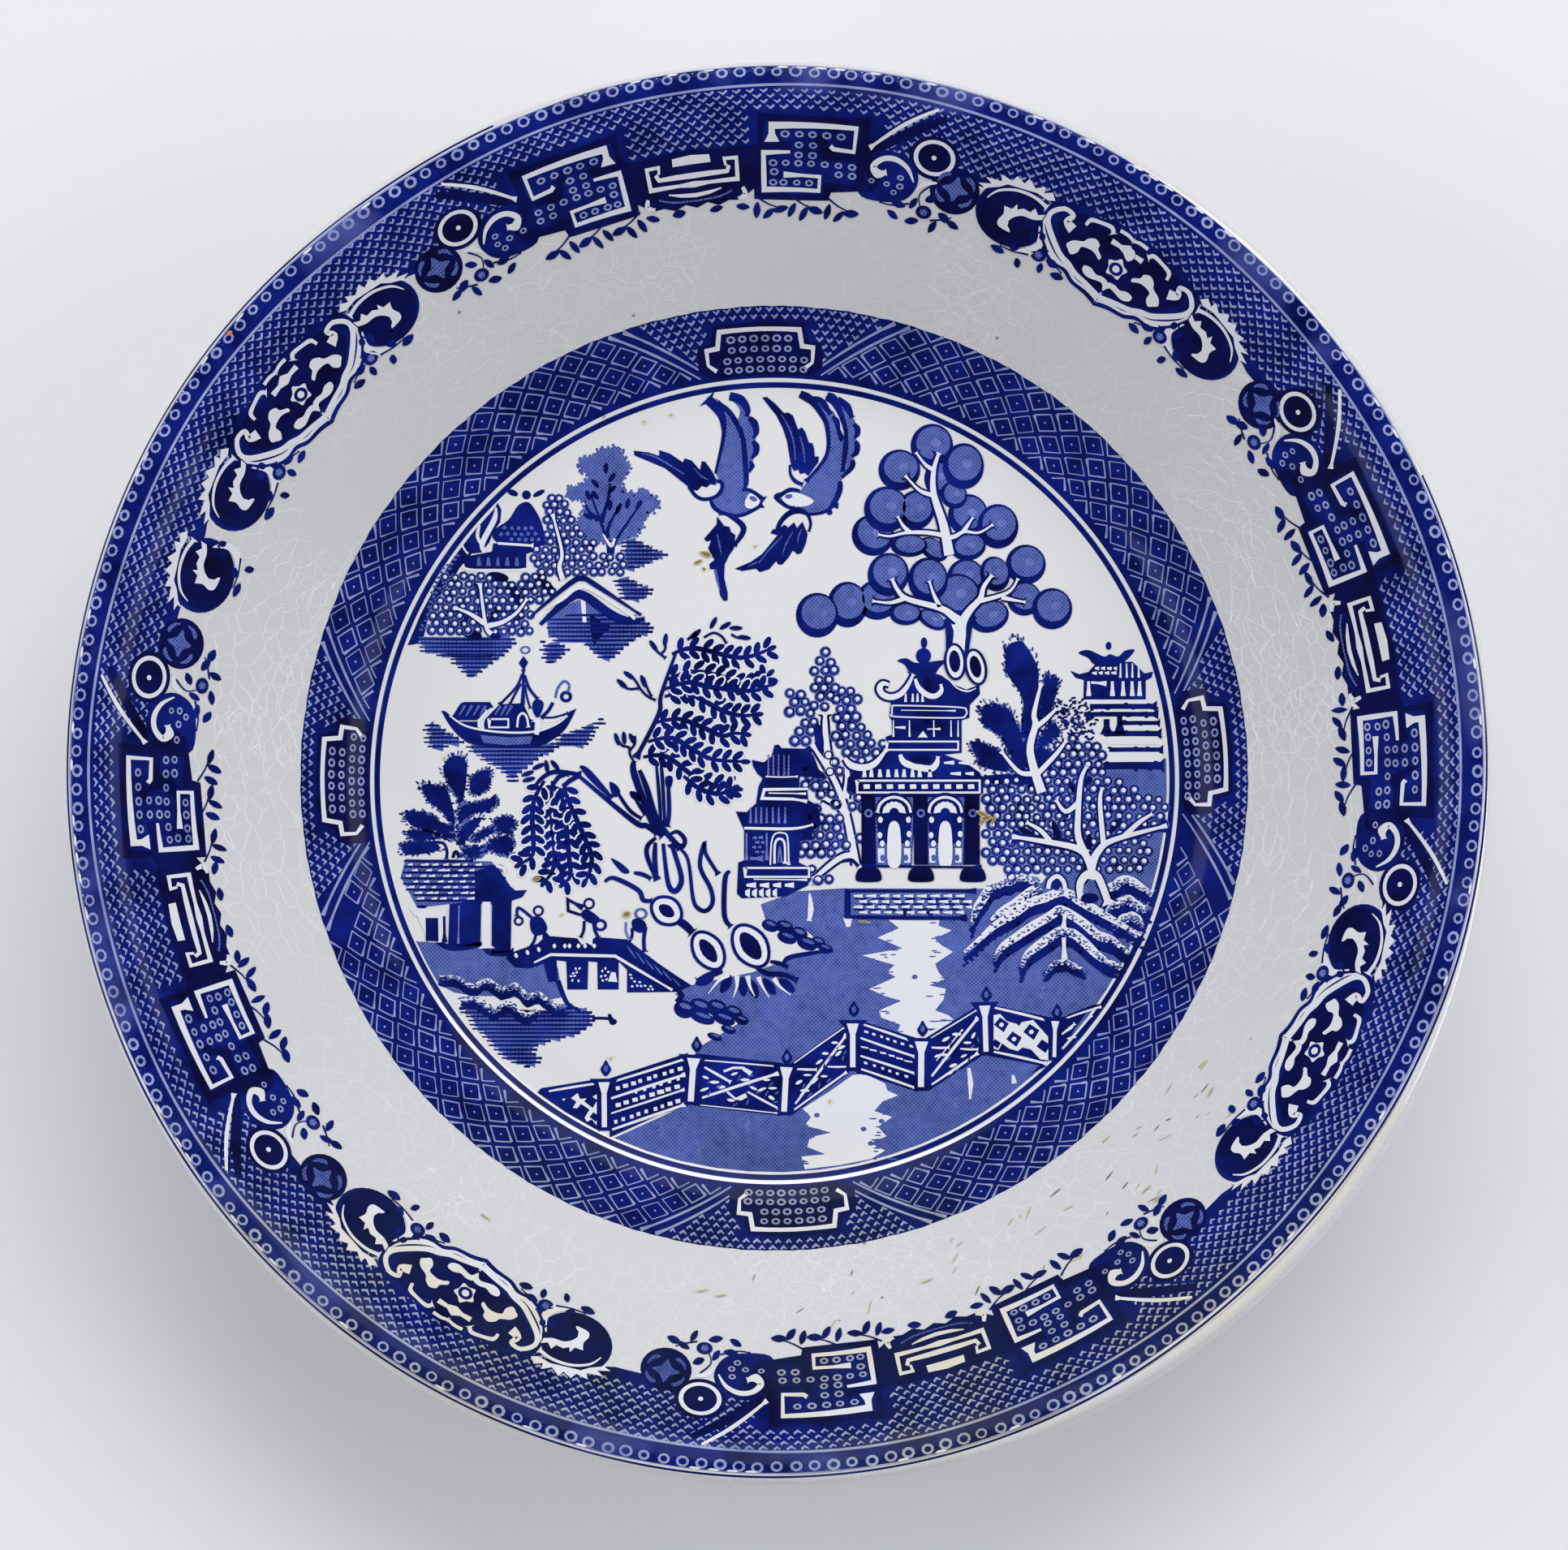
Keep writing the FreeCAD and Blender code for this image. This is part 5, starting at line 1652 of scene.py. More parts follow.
# the willow: sprays to the right and left, thin outlined boughs, and three knots at its foot
for i, spine in enumerate((
    [(-18.2, 21.6), (-14.4, 22.6), (-6.6, 21), (-1.4, 22.6)],
    [(-19.2, 17.2), (-15, 18.6), (-10.6, 18), (-7, 16.6), (-4, 16.6), (-1.6, 18.4)],
    [(-19.6, 15.6), (-15.4, 16.8), (-11.6, 16), (-4.6, 15.4), (-1.2, 16.6)],
    [(-19.4, 14.4), (-15.6, 15), (-9.6, 12), (-6.4, 11.2), (-3.6, 11.4)],
    [(-21, 10), (-17, 10.6), (-13, 9.2), (-9.8, 7.8), (-7.6, 8.2), (-5.6, 8)],
    [(-22.2, 6.8), (-18.2, 7.4), (-14.6, 5.4), (-11.2, 3.8), (-5.8, 3.4)],
    [(-23, 4.2), (-19, 4.2), (-13.2, 0.2), (-7, -1.2)],
    [(-16.2, 1), (-13.4, -1.2), (-10.2, -2), (-7.6, -1)],
    [(-39.6, 0.2), (-41.2, -2.8), (-41.6, -6), (-41.4, -9.4), (-41.6, -12.4), (-43.8, -14)],
    [(-38.2, 0.2), (-38.4, -4), (-37.8, -12), (-38.2, -15), (-39.6, -17)],
    [(-37, -1), (-36.2, -5), (-35.4, -12.6), (-35.2, -15.8), (-36.4, -17.2)],
    [(-36.4, -0.2), (-35.6, -3), (-32.8, -9.4), (-31.6, -12.6), (-32, -15.4), (-32.8, -17)],
)):
    frond(spine, 3 + i % 3)
scene.use("dark", 8)
for spine in (
    [(-17.6, 21.6), (-20, 14.6), (-20.4, 11.4), (-24.2, 4)],
    [(-41.4, -1), (-39.8, 0.8), (-37.6, 1.7), (-33.4, 1.2)],
    [(-38.4, -1), (-37.2, 0.8), (-35.6, 1.4)],
    [(-36.4, -2), (-35.8, -0.2), (-33.4, 1.2)],
):
    scene.stroke(spine, [0.5, 0.7, 0.8, 0.7])
for x, y, turn in (
    (-14.1, 25, 48), (-11.2, 26.9, 62), (-9.2, 26.4, 32), (-7.4, 26, 0), (-6, 24.4, -8), (-21.3, 23, -55),
    (-19.3, 24, 82),
    (-25.4, 18, -35), (-26.6, 16.6, -40), (-23, 17, -70), (-27.4, 7.2, -72), (-26.2, 7.4, -85),
    (-24.8, 7.2, -62),
    (-40.6, 2.6, 25), (-39.2, 2.6, 100), (-37.8, 2.8, 130), (-42.4, 1.4, 20), (-42.2, 0.4, 15),
):
    scene.oval((x, y), 1.15, 0.42, turn, 10)
for spine in (
    [(-15.6, 24), (-14, 25.2)], [(-12.8, 24.4), (-11.2, 25.2), (-9.8, 24.6), (-9, 23.4)],
    [(-8.2, 25), (-7.2, 24.4), (-5.8, 24.3)],
    [(-21.6, 23.2), (-20.6, 22), (-19.2, 20.9)], [(-19.4, 24.4), (-19.3, 22.6), (-20, 21.6)],
    [(-25.8, 18.4), (-24.4, 17.2), (-23.4, 15.6), (-22.2, 14.4), (-20.9, 13.8)],
    [(-26.9, 16.4), (-25.4, 15.7), (-23.8, 15.8)],
    [(-22.9, 17.6), (-22.3, 15.8), (-21.6, 14.4)], [(-27.6, 7.8), (-26.6, 6.2), (-25.4, 5.8), (-25.2, 4.6),
        (-24.4, 3.2)], [(-24.4, 7.8), (-24.4, 6.4), (-25.2, 5.4)],
):
    scene.stroke(spine, 0.42)

# boughs, as outlines
for spine, width in (
    ([(-33.6, 2.6), (-32, 1.6), (-28.2, -2.8)], 0.6),
    ([(-33.8, 1), (-24.6, -6.6), (-22.4, -7.4), (-20.6, -8.8)], 0.75),
    ([(-33.2, 2.2), (-31.6, 0.4), (-28.4, -2.6)], 0.5),
    ([(-28, -0.6), (-25.4, -4.6), (-23.2, -6.2)], 0.5),
    ([(-24.6, -2), (-23.8, -3.6), (-22.6, -5.6)], 0.5),
    ([(-24.6, 3.4), (-24.4, 1), (-21.4, -6.8), (-19.6, -9.2)], 0.95),
    ([(-23.6, 2), (-22.4, -1), (-20.4, -6.8), (-16.6, -11.2)], 0.8),
    ([(-20.8, 3.4), (-20.2, -3.4), (-20, -6.8)], 0.5),
    ([(-20, 3.2), (-19.7, 0), (-19.3, -7.4)], 0.5),
    ([(-18.8, 0.6), (-18.6, -4.8), (-18.9, -7.6)], 0.6),
    ([(-18.4, -8.8), (-17.2, -8.4), (-16, -9.6), (-16.2, -10.8), (-17.2, -11), (-18.2, -9.6)], 0.6),
    ([(-20.8, -9.4), (-22.2, -10.8), (-22.2, -12.8), (-20.6, -16.6)], 0.65),
    ([(-20.9, -10.2), (-21, -13), (-20.7, -16.2)], 0.7),
    (
        [(-19.6, -10.4), (-18.8, -16.8), (-17.8, -18.4), (-16.8, -17.6), (-16.6, -15.6), (-18.2, -10.4)],
        0.75,
    ),
    (
        [
            (-17, -11), (-15.4, -13.2), (-14.6, -19.4), (-13.8, -21.2), (-12.4, -21.7), (-11.3, -20.4),
            (-11.6, -18), (-13.4, -14.2), (-12.7, -10.4), (-12.4, -12.2), (-10.3, -15.6),
        ],
        0.6,
    ),
    ([(-8.4, -15), (-9.2, -16.4), (-9.3, -22.4), (-8.2, -24.4)], 0.7),
    ([(-29.4, -16.8), (-27.8, -16.2), (-23.8, -18.2), (-22.9, -19.9), (-21.4, -20)], 0.65),
    ([(-24.5, -15.3), (-23, -15.6), (-21.6, -16.3)], 0.6),
    ([(-17.4, -23.2), (-16, -24), (-14.6, -25.4)], 1.1),
    ([(-1.6, -30.2), (0.2, -30.6), (1.4, -31.2)], 0.6),
    ([(-9.6, -31.8), (-12, -32.6), (-13.8, -33.6)], 0.9),
    ([(-4.4, -30.8), (-2.2, -32.2), (0.6, -32.4), (3, -33.4)], 0.7),
):
    scene.use("dark", 6).stroke(spine, [width * 0.8, width * 1.25, width * 1.25, width])
scene.blob([(-28.6, 0), (-27.4, -0.6), (-26.8, -1.8), (-27.6, -2.6), (-28.4, -1.6)])
scene.blob([(-25.2, -1.6), (-24, -1.8), (-23.2, -3), (-24, -3.2), (-25, -2.6)])
scene.blob([(-19.2, 0.8), (-18.2, 1), (-18, 0), (-18.6, -1.4), (-19.2, -0.6)])
scene.blob([(-28.4, -12.9), (-26.8, -13.6), (-25.4, -14.8), (-25.4, -15.4), (-26.6, -15.2)])
for x, y, rx, ry, turn in ((-19, -21.7, 1.5, 1, -35), (-12, -28.4, 2.3, 1.15, -55),
        (-4.9, -27.6, 2.7, 1.5, -55)):
    scene.use("dark", 7).oval((x, y), rx + 1.55, ry + 1.6, turn, 22, 0.12)
    scene.use("white", 8).oval((x, y), rx + 0.95, ry + 1, turn, 22, 0.12)
    scene.use("deep", 9).oval((x, y), rx, ry, turn, 16, 0.15)
scene.use("dark", 4)
for x, y, turn in ((-12.6, -33.4, 20), (-9, -34, 60), (-6.2, -34.4, 95), (-4.4, -34.8, 110),
        (-1.8, -34.4, 128), (1.2, -34.2, 140)):
    scene.oval((x, y), 1.7, 0.85, turn, 12, 0.2)
scene.use("white", 5)
for spine in (
    [(-8.6, -32.4), (-10.2, -33.4), (-12, -35.6)], [(-7.2, -32.6), (-7.2, -34.4), (-7.8, -36.2)],
    [(-5.4, -32.6), (-5, -34.4), (-4.2, -36)],
    [(-3.6, -32.8), (-3, -34.2), (-1.8, -36.2)], [(-1, -33), (0, -34.4), (1.8, -35.8)],
):
    scene.stroke(spine, [0.9, 0.45, 0.1])

# the bush, the lodge and the bank at the left end of the bridge
for outline in (
    [(-56.6, 2.4), (-55.4, 4.2), (-53.4, 4.2), (-52.6, 2), (-53.2, -2.8), (-54, -3.5), (-54.8, -1.6),
        (-56, 0)],
    [(-52, 0.4), (-50.6, 1.7), (-49, 1.9), (-48.6, 0), (-50, -1.8), (-51.8, -1.9)],
    [(-60.2, -0.6), (-57.6, -0.5), (-55.8, -1.6), (-54.5, -6.7), (-55.4, -6.9), (-57, -4.8), (-59.2, -3.1)],
    [(-54, -4.8), (-52.6, -3.7), (-50, -3.3), (-48, -2.6), (-47.6, -3.4), (-48.6, -4.9), (-51, -5.2),
        (-52.8, -6.4), (-53.8, -6.6)],
    [(-63, -5.6), (-61.4, -5), (-58.6, -5.4), (-57, -6.8), (-55, -7.5), (-54.6, -9.3), (-56, -9.5),
        (-61.4, -7.6)],
    [(-62.6, -8.6), (-60.4, -8), (-58, -8.3), (-56.9, -9.4), (-61, -9.9)],
    [(-53.9, -7.6), (-50, -6), (-53, -10.3), (-53.9, -9.9)],
    [(-51.6, -9.5), (-50, -8.1), (-48.4, -7.6), (-48, -8.4), (-51, -10)],
    [(-48, -6.4), (-45.6, -5.8), (-44.4, -7), (-45.2, -8.6), (-47.4, -8.4)],
    [(-49.6, -10.8), (-48, -9.4), (-45.6, -9.2), (-44.6, -10.5), (-45.2, -12.1), (-47, -12.2),
        (-49.2, -11.3)],
    [(-53, -11.2), (-51.4, -10.8), (-50, -11.2), (-49.6, -12.2), (-51.4, -12.8), (-53, -12.5)],
    [(-63.4, -10.6), (-61, -10), (-58, -10.3), (-57.4, -11.6), (-62.6, -12.3)],
):
    feather(outline, 3, 0.6)
scene.use("dark", 4).stroke([(-58.6, -10.2), (-56.6, -10.3), (-55.9, -11.6), (-56, -13)], 0.5)
scene.stroke([(-54.9, -12.8), (-54.6, -11.9), (-54.2, -11.9), (-53.8, -12.8)], 0.6)
roof = [(-62.8, -13), (-48.4, -13.4), (-44.8, -18.2), (-45, -20.6), (-55.6, -20.6), (-60.8, -21.2),
    (-63.6, -16)]
scene.use("mid", 2).fill(roof)
hatch(roof, 4, 0.95, 0.5)
scene.use("white", 5)
for k in range(7):
    y = -14.0 - k * 0.95
    for x in range(7):
        left = -62.4 + x * 1.9 + random.uniform(-0.4, 0.4) + k % 2 * 0.9
        if within(roof, (left, y)) and within(roof, (left + 1.4, y)):
            scene.stroke([(left, y), (left + random.uniform(0.7, 1.3), y + 0.12)], [0.2, 0.42, 0.2])
scene.use("dark", 6).fill([
    (-51.2, -15.6), (-50.4, -14.8), (-49.4, -14.6), (-48.6, -13.9), (-47.4, -14.4), (-45.2, -17.6),
    (-44.4, -18.3), (-42.4, -18.2), (-43.2, -19.4), (-45, -20), (-45.1, -28.6), (-48.3, -29), (-48.3, -20),
    (-50.1, -19.8), (-50.2, -27.6), (-55.6, -27.6), (-55.4, -20.6), (-51.2, -20),
])
scene.use("white", 7).stroke([(-49.2, -20.2), (-49.3, -24), (-49.2, -28)], [1.3, 1.5, 1.3])
scene.fill([(-62, -21.4), (-55.9, -21.3), (-55.9, -22.2), (-61.2, -22.6)])
scene.fill([(-61, -22.2), (-56, -22.2), (-56.2, -27), (-58.8, -27)])
scene.use("mid", 7).fill([(-47.6, -13.9), (-46.6, -14), (-46, -15.2), (-47, -15)])
scene.use("white", 8).stroke([(-47.6, -14.1), (-46.4, -14.6), (-46.1, -15.4)], 0.5)
scene.use("dark", 8).fill([(-59.4, -22.9), (-57.3, -22.9), (-57.2, -26.9), (-59.3, -26.8)])
scene.stroke([(-56.3, -22.6), (-56.2, -27)], 0.45)
scene.use("pale", 7).stroke([(-53.8, -20.8), (-53.9, -27.2)], 0.22)
scene.use("dark", 6).stroke([(-57.4, -26.8), (-55.4, -27.9), (-52.4, -27.8), (-50, -27.4), (-48.4, -28.8),
    (-44.6, -28.8)], 0.9)
scene.use("mid", 2).fill([
    (-58, -27), (-50, -27.6), (-45, -28.9), (-42, -30.6), (-38.4, -30.4), (-37.2, -31.2), (-36.4, -36.2),
    (-38.6, -36.6), (-42, -36.6), (-46, -36), (-51, -36), (-54.6, -35.4), *shore(238.5, 245.5, 66),
])
for level, points in (
    (3, [(-57, -32.6), (-54, -33), (-51.6, -34.2), (-48.8, -33.4), (-46.6, -34.9), (-44.4, -34.4),
        (-42.4, -36), (-40.2, -35.8), (-38, -37.4), (-36, -37.9)]),
    (3, [(-53.4, -36.4), (-50.4, -36.9), (-48.2, -38.2), (-45.4, -37.3), (-43.2, -39), (-40.6, -38.6)]),
):
    ridge(points, level, 0.9, 1.3)
bank = [(-53, -37.6), (-45, -38.6), (-40, -38.4), (-36.2, -37.4), (-31.2, -38.6), (-30.2, -39.9),
    (-32, -41.4), (-34, -42.3), (-37, -43.2)]
bank += [(-40.4, -43.9), (-40.6, -45.6), (-39.4, -47.4), (-42.6, -48), *shore(224, 233.5, 65.6)]
scene.use("mid", 1).fill([(-53, -37.6), (-41, -38.4), (-36.6, -41), (-38.6, -42.8), (-41.8, -45),
    (-45.2, -46), (-49, -42.6)])
hatch(bank, 2, 0.7, 0.44)
scene.use("dark", 3).stroke([(-31.4, -39.7), (-29.6, -39.7), (-28.4, -39.8)], 0.5)
scene.blob([(-28.8, -39.2), (-28.3, -39), (-28, -39.6), (-27.3, -40.1), (-27.5, -40.7), (-28.4, -40.7)])
scene.stroke([(-37.2, -33.4), (-35.6, -37.2), (-33.4, -38.4)], [0.9, 0.8, 0.7, 0.4])

# the bridge, and three small figures on it
scene.use("dark", 4).fill([
    (-39.2, -25.9), (-34, -26.3), (-33.2, -27.4), (-32, -27), (-30.9, -26.1), (-25.6, -26.5),
    (-20.4, -30.5), (-17, -32.8), (-14.8, -34.2), (-17, -35.3), (-25.6, -35.4), (-25.6, -31.6),
    (-27, -30.2), (-27, -34.9), (-30.5, -34.9), (-30.6, -30.3), (-32.1, -30.2), (-32.2, -34.9),
    (-35.6, -34.9), (-35.8, -30.2), (-37.4, -30), (-37.2, -33.6), (-38.8, -33.6), (-39.6, -30.6),
    (-42, -31.4), (-44.4, -31.2), (-46, -29.6), (-44.2, -28.4), (-40.6, -27.2),
])
scene.use("white", 5).stroke([(-41.2, -30.4), (-38.4, -29.05), (-27.6, -29.3), (-18, -35)],
    [0.3, 0.5, 0.5, 0.5, 0.45, 0.2], smooth=False)
for corners in ([(-35, -31), (-33.4, -31.2), (-33.5, -33.9), (-35, -34)],
        [(-30, -31.2), (-28.6, -31), (-29, -33.8), (-30, -33.9)],
        [(-25.1, -32.4), (-24.9, -34.9), (-20.6, -34.9)]):
    for place in scattered(corners, 0.75, 0.15):
        scene.use("white", 5).oval(place, 0.26, 0.18, random.uniform(0, 180), 6)
scene.use("white", 5).stroke([(-27.9, -32), (-28, -33.6)], 0.7)
for k in range(6):
    scene.use("white", 5).oval((-37.6 + k * 1.3 + random.uniform(-0.3, 0.3), -27.6), 0.3, 0.4, 0, 7)
    x = -25.6 + k * 1.5
    scene.use("mid", 5).stroke([(x, -27.6 - k * 1.05), (x + 1.4, -29.6 - k * 0.95)], [0.1, 0.3, 0.1])
scene.use("white", 5).stroke([(-32.4, -26.6), (-31.4, -26.6)], 0.9)
for k in range(3):
    scene.oval((-44.2 + k * 1.9, -29.2 + k * 0.5), 0.3, 0.45, 20, 7)
scene.use("dark", 6).blob([(-41.8, -23), (-40.6, -22.6), (-39.6, -23.2), (-39, -24.6), (-39.6, -25.6),
    (-41, -25.8), (-41.8, -24.8)])
scene.hoop((-40.5, -21.7), 0.95, 0.95, 0.6)
scene.stroke([(-41.4, -23), (-43.8, -21.2), (-44.1, -22.6)], 0.5)
scene.hoop((-43.8, -23.4), 0.85, 0.85, 0.55)
scene.stroke([(-40.9, -25.6), (-41.2, -26.8), (-42, -28)], 0.5)
scene.stroke([(-39.4, -25.4), (-39.2, -26.2)], 0.6)
scene.blob([(-33.4, -22.4), (-32.4, -21.4), (-30.2, -23), (-30.8, -23.8), (-32.2, -23.6)])
scene.hoop((-32, -20.5), 1, 1, 0.62)
scene.stroke([(-33.4, -22.4), (-35.5, -21.7), (-35.6, -19.8), (-33, -21.2)], 0.5, smooth=False)
scene.hoop((-30.1, -24.1), 1.15, 1.05, 0.55)
scene.stroke([(-32.8, -23.4), (-32.9, -25), (-33.4, -26.2)], 0.5)
scene.stroke([(-31.2, -23.8), (-31, -25), (-30.4, -26.2)], 0.55)
scene.blob([(-24.8, -23.4), (-23.8, -22.9), (-22.6, -23.6), (-22.4, -24.8), (-23.4, -25.4), (-24.6, -24.8)])
scene.use("mid", 6).hoop((-23.3, -22.2), 1.15, 1, 0.6)
scene.use("dark", 6).stroke([(-24.8, -24.6), (-24.8, -26), (-25.6, -27.4)], 0.5)
scene.stroke([(-22.5, -24.4), (-22.8, -26.4), (-22.7, -28.6)], 0.65)
scene.use("pale", 6).stroke([(-25.8, -23.6), (-25.8, -25.2), (-25.2, -26.6)], 0.4)


# the island: a pale tree, a round-roofed house, a tree of rings, an arched hill and level lines of water
crown = [(-33.6, 54.8), (-31.4, 55.2), (-30.2, 56.4), (-27.2, 56.4), (-25.6, 53), (-26.8, 51.2),
    (-26.4, 49.4), (-24.8, 48.9)]
crown += [(-23.2, 49.3), (-21.4, 48.4), (-20.7, 46.8), (-23, 44.6), (-23.4, 43.2), (-24.6, 41.8),
    (-27.6, 40.6), (-32.6, 41.2)]
crown += [(-34.2, 43.8), (-33, 46), (-33.2, 47.8), (-35.6, 48.2), (-35.6, 49.9), (-33.2, 50.4),
    (-32.4, 52.2), (-33.6, 53)]
scene.use("mid", 2).blob(crown)
for x, y in curve(crown, True, 5):
    for _ in range(2):
        scene.oval((x + random.uniform(-0.4, 0.4), y + random.uniform(-0.4, 0.4)), 0.34, 0.26,
            random.uniform(0, 180), 6)
scene.use("dark", 4)
for spine in (
    [(-28.7, 38.2), (-29.4, 41.6), (-32, 48.8)], [(-30.2, 44), (-29, 48), (-28.7, 50.6)],
    [(-29.2, 41.4), (-28.8, 43.6), (-26.8, 47.2)], [(-28.4, 38.6), (-27.6, 41), (-23.8, 46.8)],
    [(-30.6, 44.4), (-32.2, 45.8), (-32.8, 47)],
):
    scene.stroke(spine, [1, 0.6, 0.45, 0.3])
for x, y, turn in (
    (-29.4, 53.2, 88), (-28.4, 51.6, 55), (-28.4, 49.6, 40), (-31.2, 50.6, -50), (-25.7, 47.2, 80),
    (-23.8, 47, 60), (-27.3, 46.2, 65),
    (-28.7, 46.9, 85), (-32.4, 48.6, -70), (-32.4, 45, -30), (-31.2, 48.6, -55),
):
    scene.oval((x, y), 0.95, 0.42, turn, 10)
scene.use("white", 5).stroke([(-29.9, 42), (-28.5, 40), (-27.9, 41.2)], [0.2, 0.6, 0.3])
scene.use("dark", 2).fill([
    (-47.6, 47.2), (-47, 46), (-47.2, 44), (-48.4, 42.2), (-49, 40.6), (-50.4, 38.8), (-52, 38.6),
    (-54, 36.2), (-55, 34.4), (-57.8, 30.8), (-59.4, 27), (-60, 24.4), (-61.4, 23.2),
    *shore(290, 314, 65.8),
])
scene.use("mid", 3)
for place in scattered([(-56.4, 36.8), (-54.2, 38.4), (-56.6, 31.6), (-59.6, 25.4), (-61, 25),
        (-58.4, 33.4)], 0.9, 0.2):
    scene.oval(place, 0.35, 0.25, 0, 6)
scene.use("white", 4).stroke([(-47.9, 46.4), (-48.2, 44.4), (-50.2, 40.4), (-49.8, 38.6)],
    [0.2, 0.9, 0.9, 0.3])
scene.stroke([(-50.6, 43.4), (-51, 41.4), (-49.6, 39)], [0.2, 0.6, 0.5, 0.2])
scene.stroke([(-53.6, 40), (-53, 39), (-52.6, 38.6)], 0.3)
scene.use("dark", 5).blob(
    [(-48, 42.8), (-45.8, 44.4), (-44.2, 46.8), (-42.6, 47.4), (-41.4, 46.2), (-40.2, 43.8), (-39.6, 40.8),
        (-40, 40), (-46, 40), (-48.4, 41.2)]
)
scene.oval((-45.1, 48.9), 0.95, 0.5, -20)
scene.oval((-42.8, 48.6), 0.75, 0.75)
scene.oval((-40.7, 48.9), 1.1, 0.42, 28)
scene.use("mid", 6)
for place in scattered([(-47.6, 41), (-46.8, 43), (-43.6, 44), (-41, 43.4), (-40.4, 41)], 1.15, 0.1):
    scene.oval(place, 0.36, 0.36, 0, 7)
scene.use("dark", 5).fill([(-48.4, 40.4), (-41.4, 40.2), (-41.6, 39), (-42.8, 38.6), (-42.8, 36.1),
    (-53, 36.1), (-53.6, 38), (-48.6, 39)])
scene.use("white", 6).stroke([(-47.6, 40.4), (-44.6, 40.2), (-41.6, 40)], 0.42)
scene.use("mid", 6)
bars([-50.8, -49.2, -47.6, -46, -44.4], 38, 36.6, 0.5)
scene.use("white", 6).stroke([(-53.6, 36.4), (-51.4, 35.8), (-42.8, 35.9)], [0.3, 0.45, 0.45, 0.3])
rings([(-38.8, 48.4), (-36.4, 48.4), (-34.4, 45.2), (-33.6, 42.2), (-31.2, 41), (-30.8, 38), (-27.4, 38.6),
    (-24.8, 37), (-26, 35), (-29.2, 34.2),
       (-33.4, 35.4), (-37.6, 34.2), (-41.2, 35.6), (-42.4, 38.6), (-39.6, 40.4), (-39.8, 46.2)], 5, 1.46,
       0.68)
rings([(-53.8, 35.6), (-44.6, 34.4), (-41.4, 36.2), (-37.8, 34.2), (-38.2, 31.2), (-41.6, 30), (-42, 24.4),
    (-49.8, 25.6), (-54, 24.2), (-58.6, 24.6), (-59.4, 28.6), (-57, 31.8), (-56.6, 35.2)], 5, 1.5, 0.7)
scene.use("deep", 4)
for x, y, turn in ((-47.6, 34.7, -10), (-44.6, 31.8, -70), (-51.2, 29.4, -60), (-48.4, 28, 55),
        (-53.6, 27.2, 35), (-45, 27.6, 20), (-52, 25, -15), (-47.2, 25.2, 20), (-39.2, 33, -45)):
    scene.oval((x, y), 1.9, 0.8, turn, 12)
limbs(
    [
        [(-48.6, 25), (-49.6, 26.6), (-50.6, 33.6)],
        [(-49.2, 26.4), (-46.8, 27), (-44.4, 28.6), (-42.6, 31)],
        [(-49.8, 26.8), (-52.2, 28.4), (-54.6, 29.4)],
        [(-36.6, 34.2), (-37.2, 36.4), (-36.8, 39), (-38.4, 45.4)],
    ],
    [0.9, 0.6, 0.35],
    7,
    0.28,
)
scene.use("mid", 1).fill([
    (-39.4, 28.4), (-34, 30.8), (-31, 30.4), (-26.4, 27.2), (-25, 24.8), (-28.6, 21.6), (-31.4, 22),
    (-33.6, 24.4), (-39, 24.4),
])
for spine, width in (
    ([(-42, 28), (-35.4, 33.6), (-33.2, 34.4), (-31.2, 33.4), (-23.4, 28.2)], 0.9),
    ([(-40.4, 26.6), (-35.8, 30.8), (-33.2, 31.6), (-28.6, 28.4), (-25.6, 27.2), (-22.8, 27.6)], 1.5),
):
    scene.use("dark", 8).stroke(spine, [0.4 * width, width, width, width, 0.3 * width])
scene.use("white", 9).stroke([(-39.6, 29.2), (-36.8, 30.9), (-34.8, 32.6), (-32.8, 33), (-29.8, 31.4),
    (-24.4, 27.6)], [0.3, 0.8, 0.8, 0.7, 0.3])
scene.use("white", 3).fill([(-33.6, 30.8), (-32.8, 30.8), (-32.6, 27), (-33.2, 26.6)])
scene.use("deep", 3).blob([(-32, 28), (-30, 27), (-28.4, 26.2), (-29.8, 25), (-31.4, 23.4)])
for outline in (
    [(-27.2, 41.2), (-24.2, 41.2), (-22, 40), (-18.8, 38.3), (-24, 36.2), (-27, 36.4)],
    [(-28.4, 34.2), (-24.4, 34.2), (-22.2, 32.9), (-20.9, 32.2), (-24.2, 30.2), (-27, 31.2)],
    [(-39.4, 27.4), (-36, 28.2), (-30, 28.4), (-23, 27.6), (-20.6, 25.8), (-24.6, 24.2), (-26.6, 21.8),
        (-28.8, 20.2), (-30.8, 21), (-32.8, 23.2), (-38.6, 24)],
    [(-40.4, 24), (-35.2, 22.8), (-38.4, 19.4), (-40.2, 21.2)],
    [(-61.6, 24.2), (-44.2, 24.2), (-45.6, 21.6), (-48.4, 20.2), (-52.2, 17.1), (-56.4, 21.2), (-60.8, 22)],
):
    hatch(outline, 3, 0.7, 0.42)
scene.use("mid", 2).fill([(-61.2, 24.2), (-45.4, 24.2), (-46.8, 21.8), (-50, 20.6), (-54.8, 21),
    (-58.4, 22)])

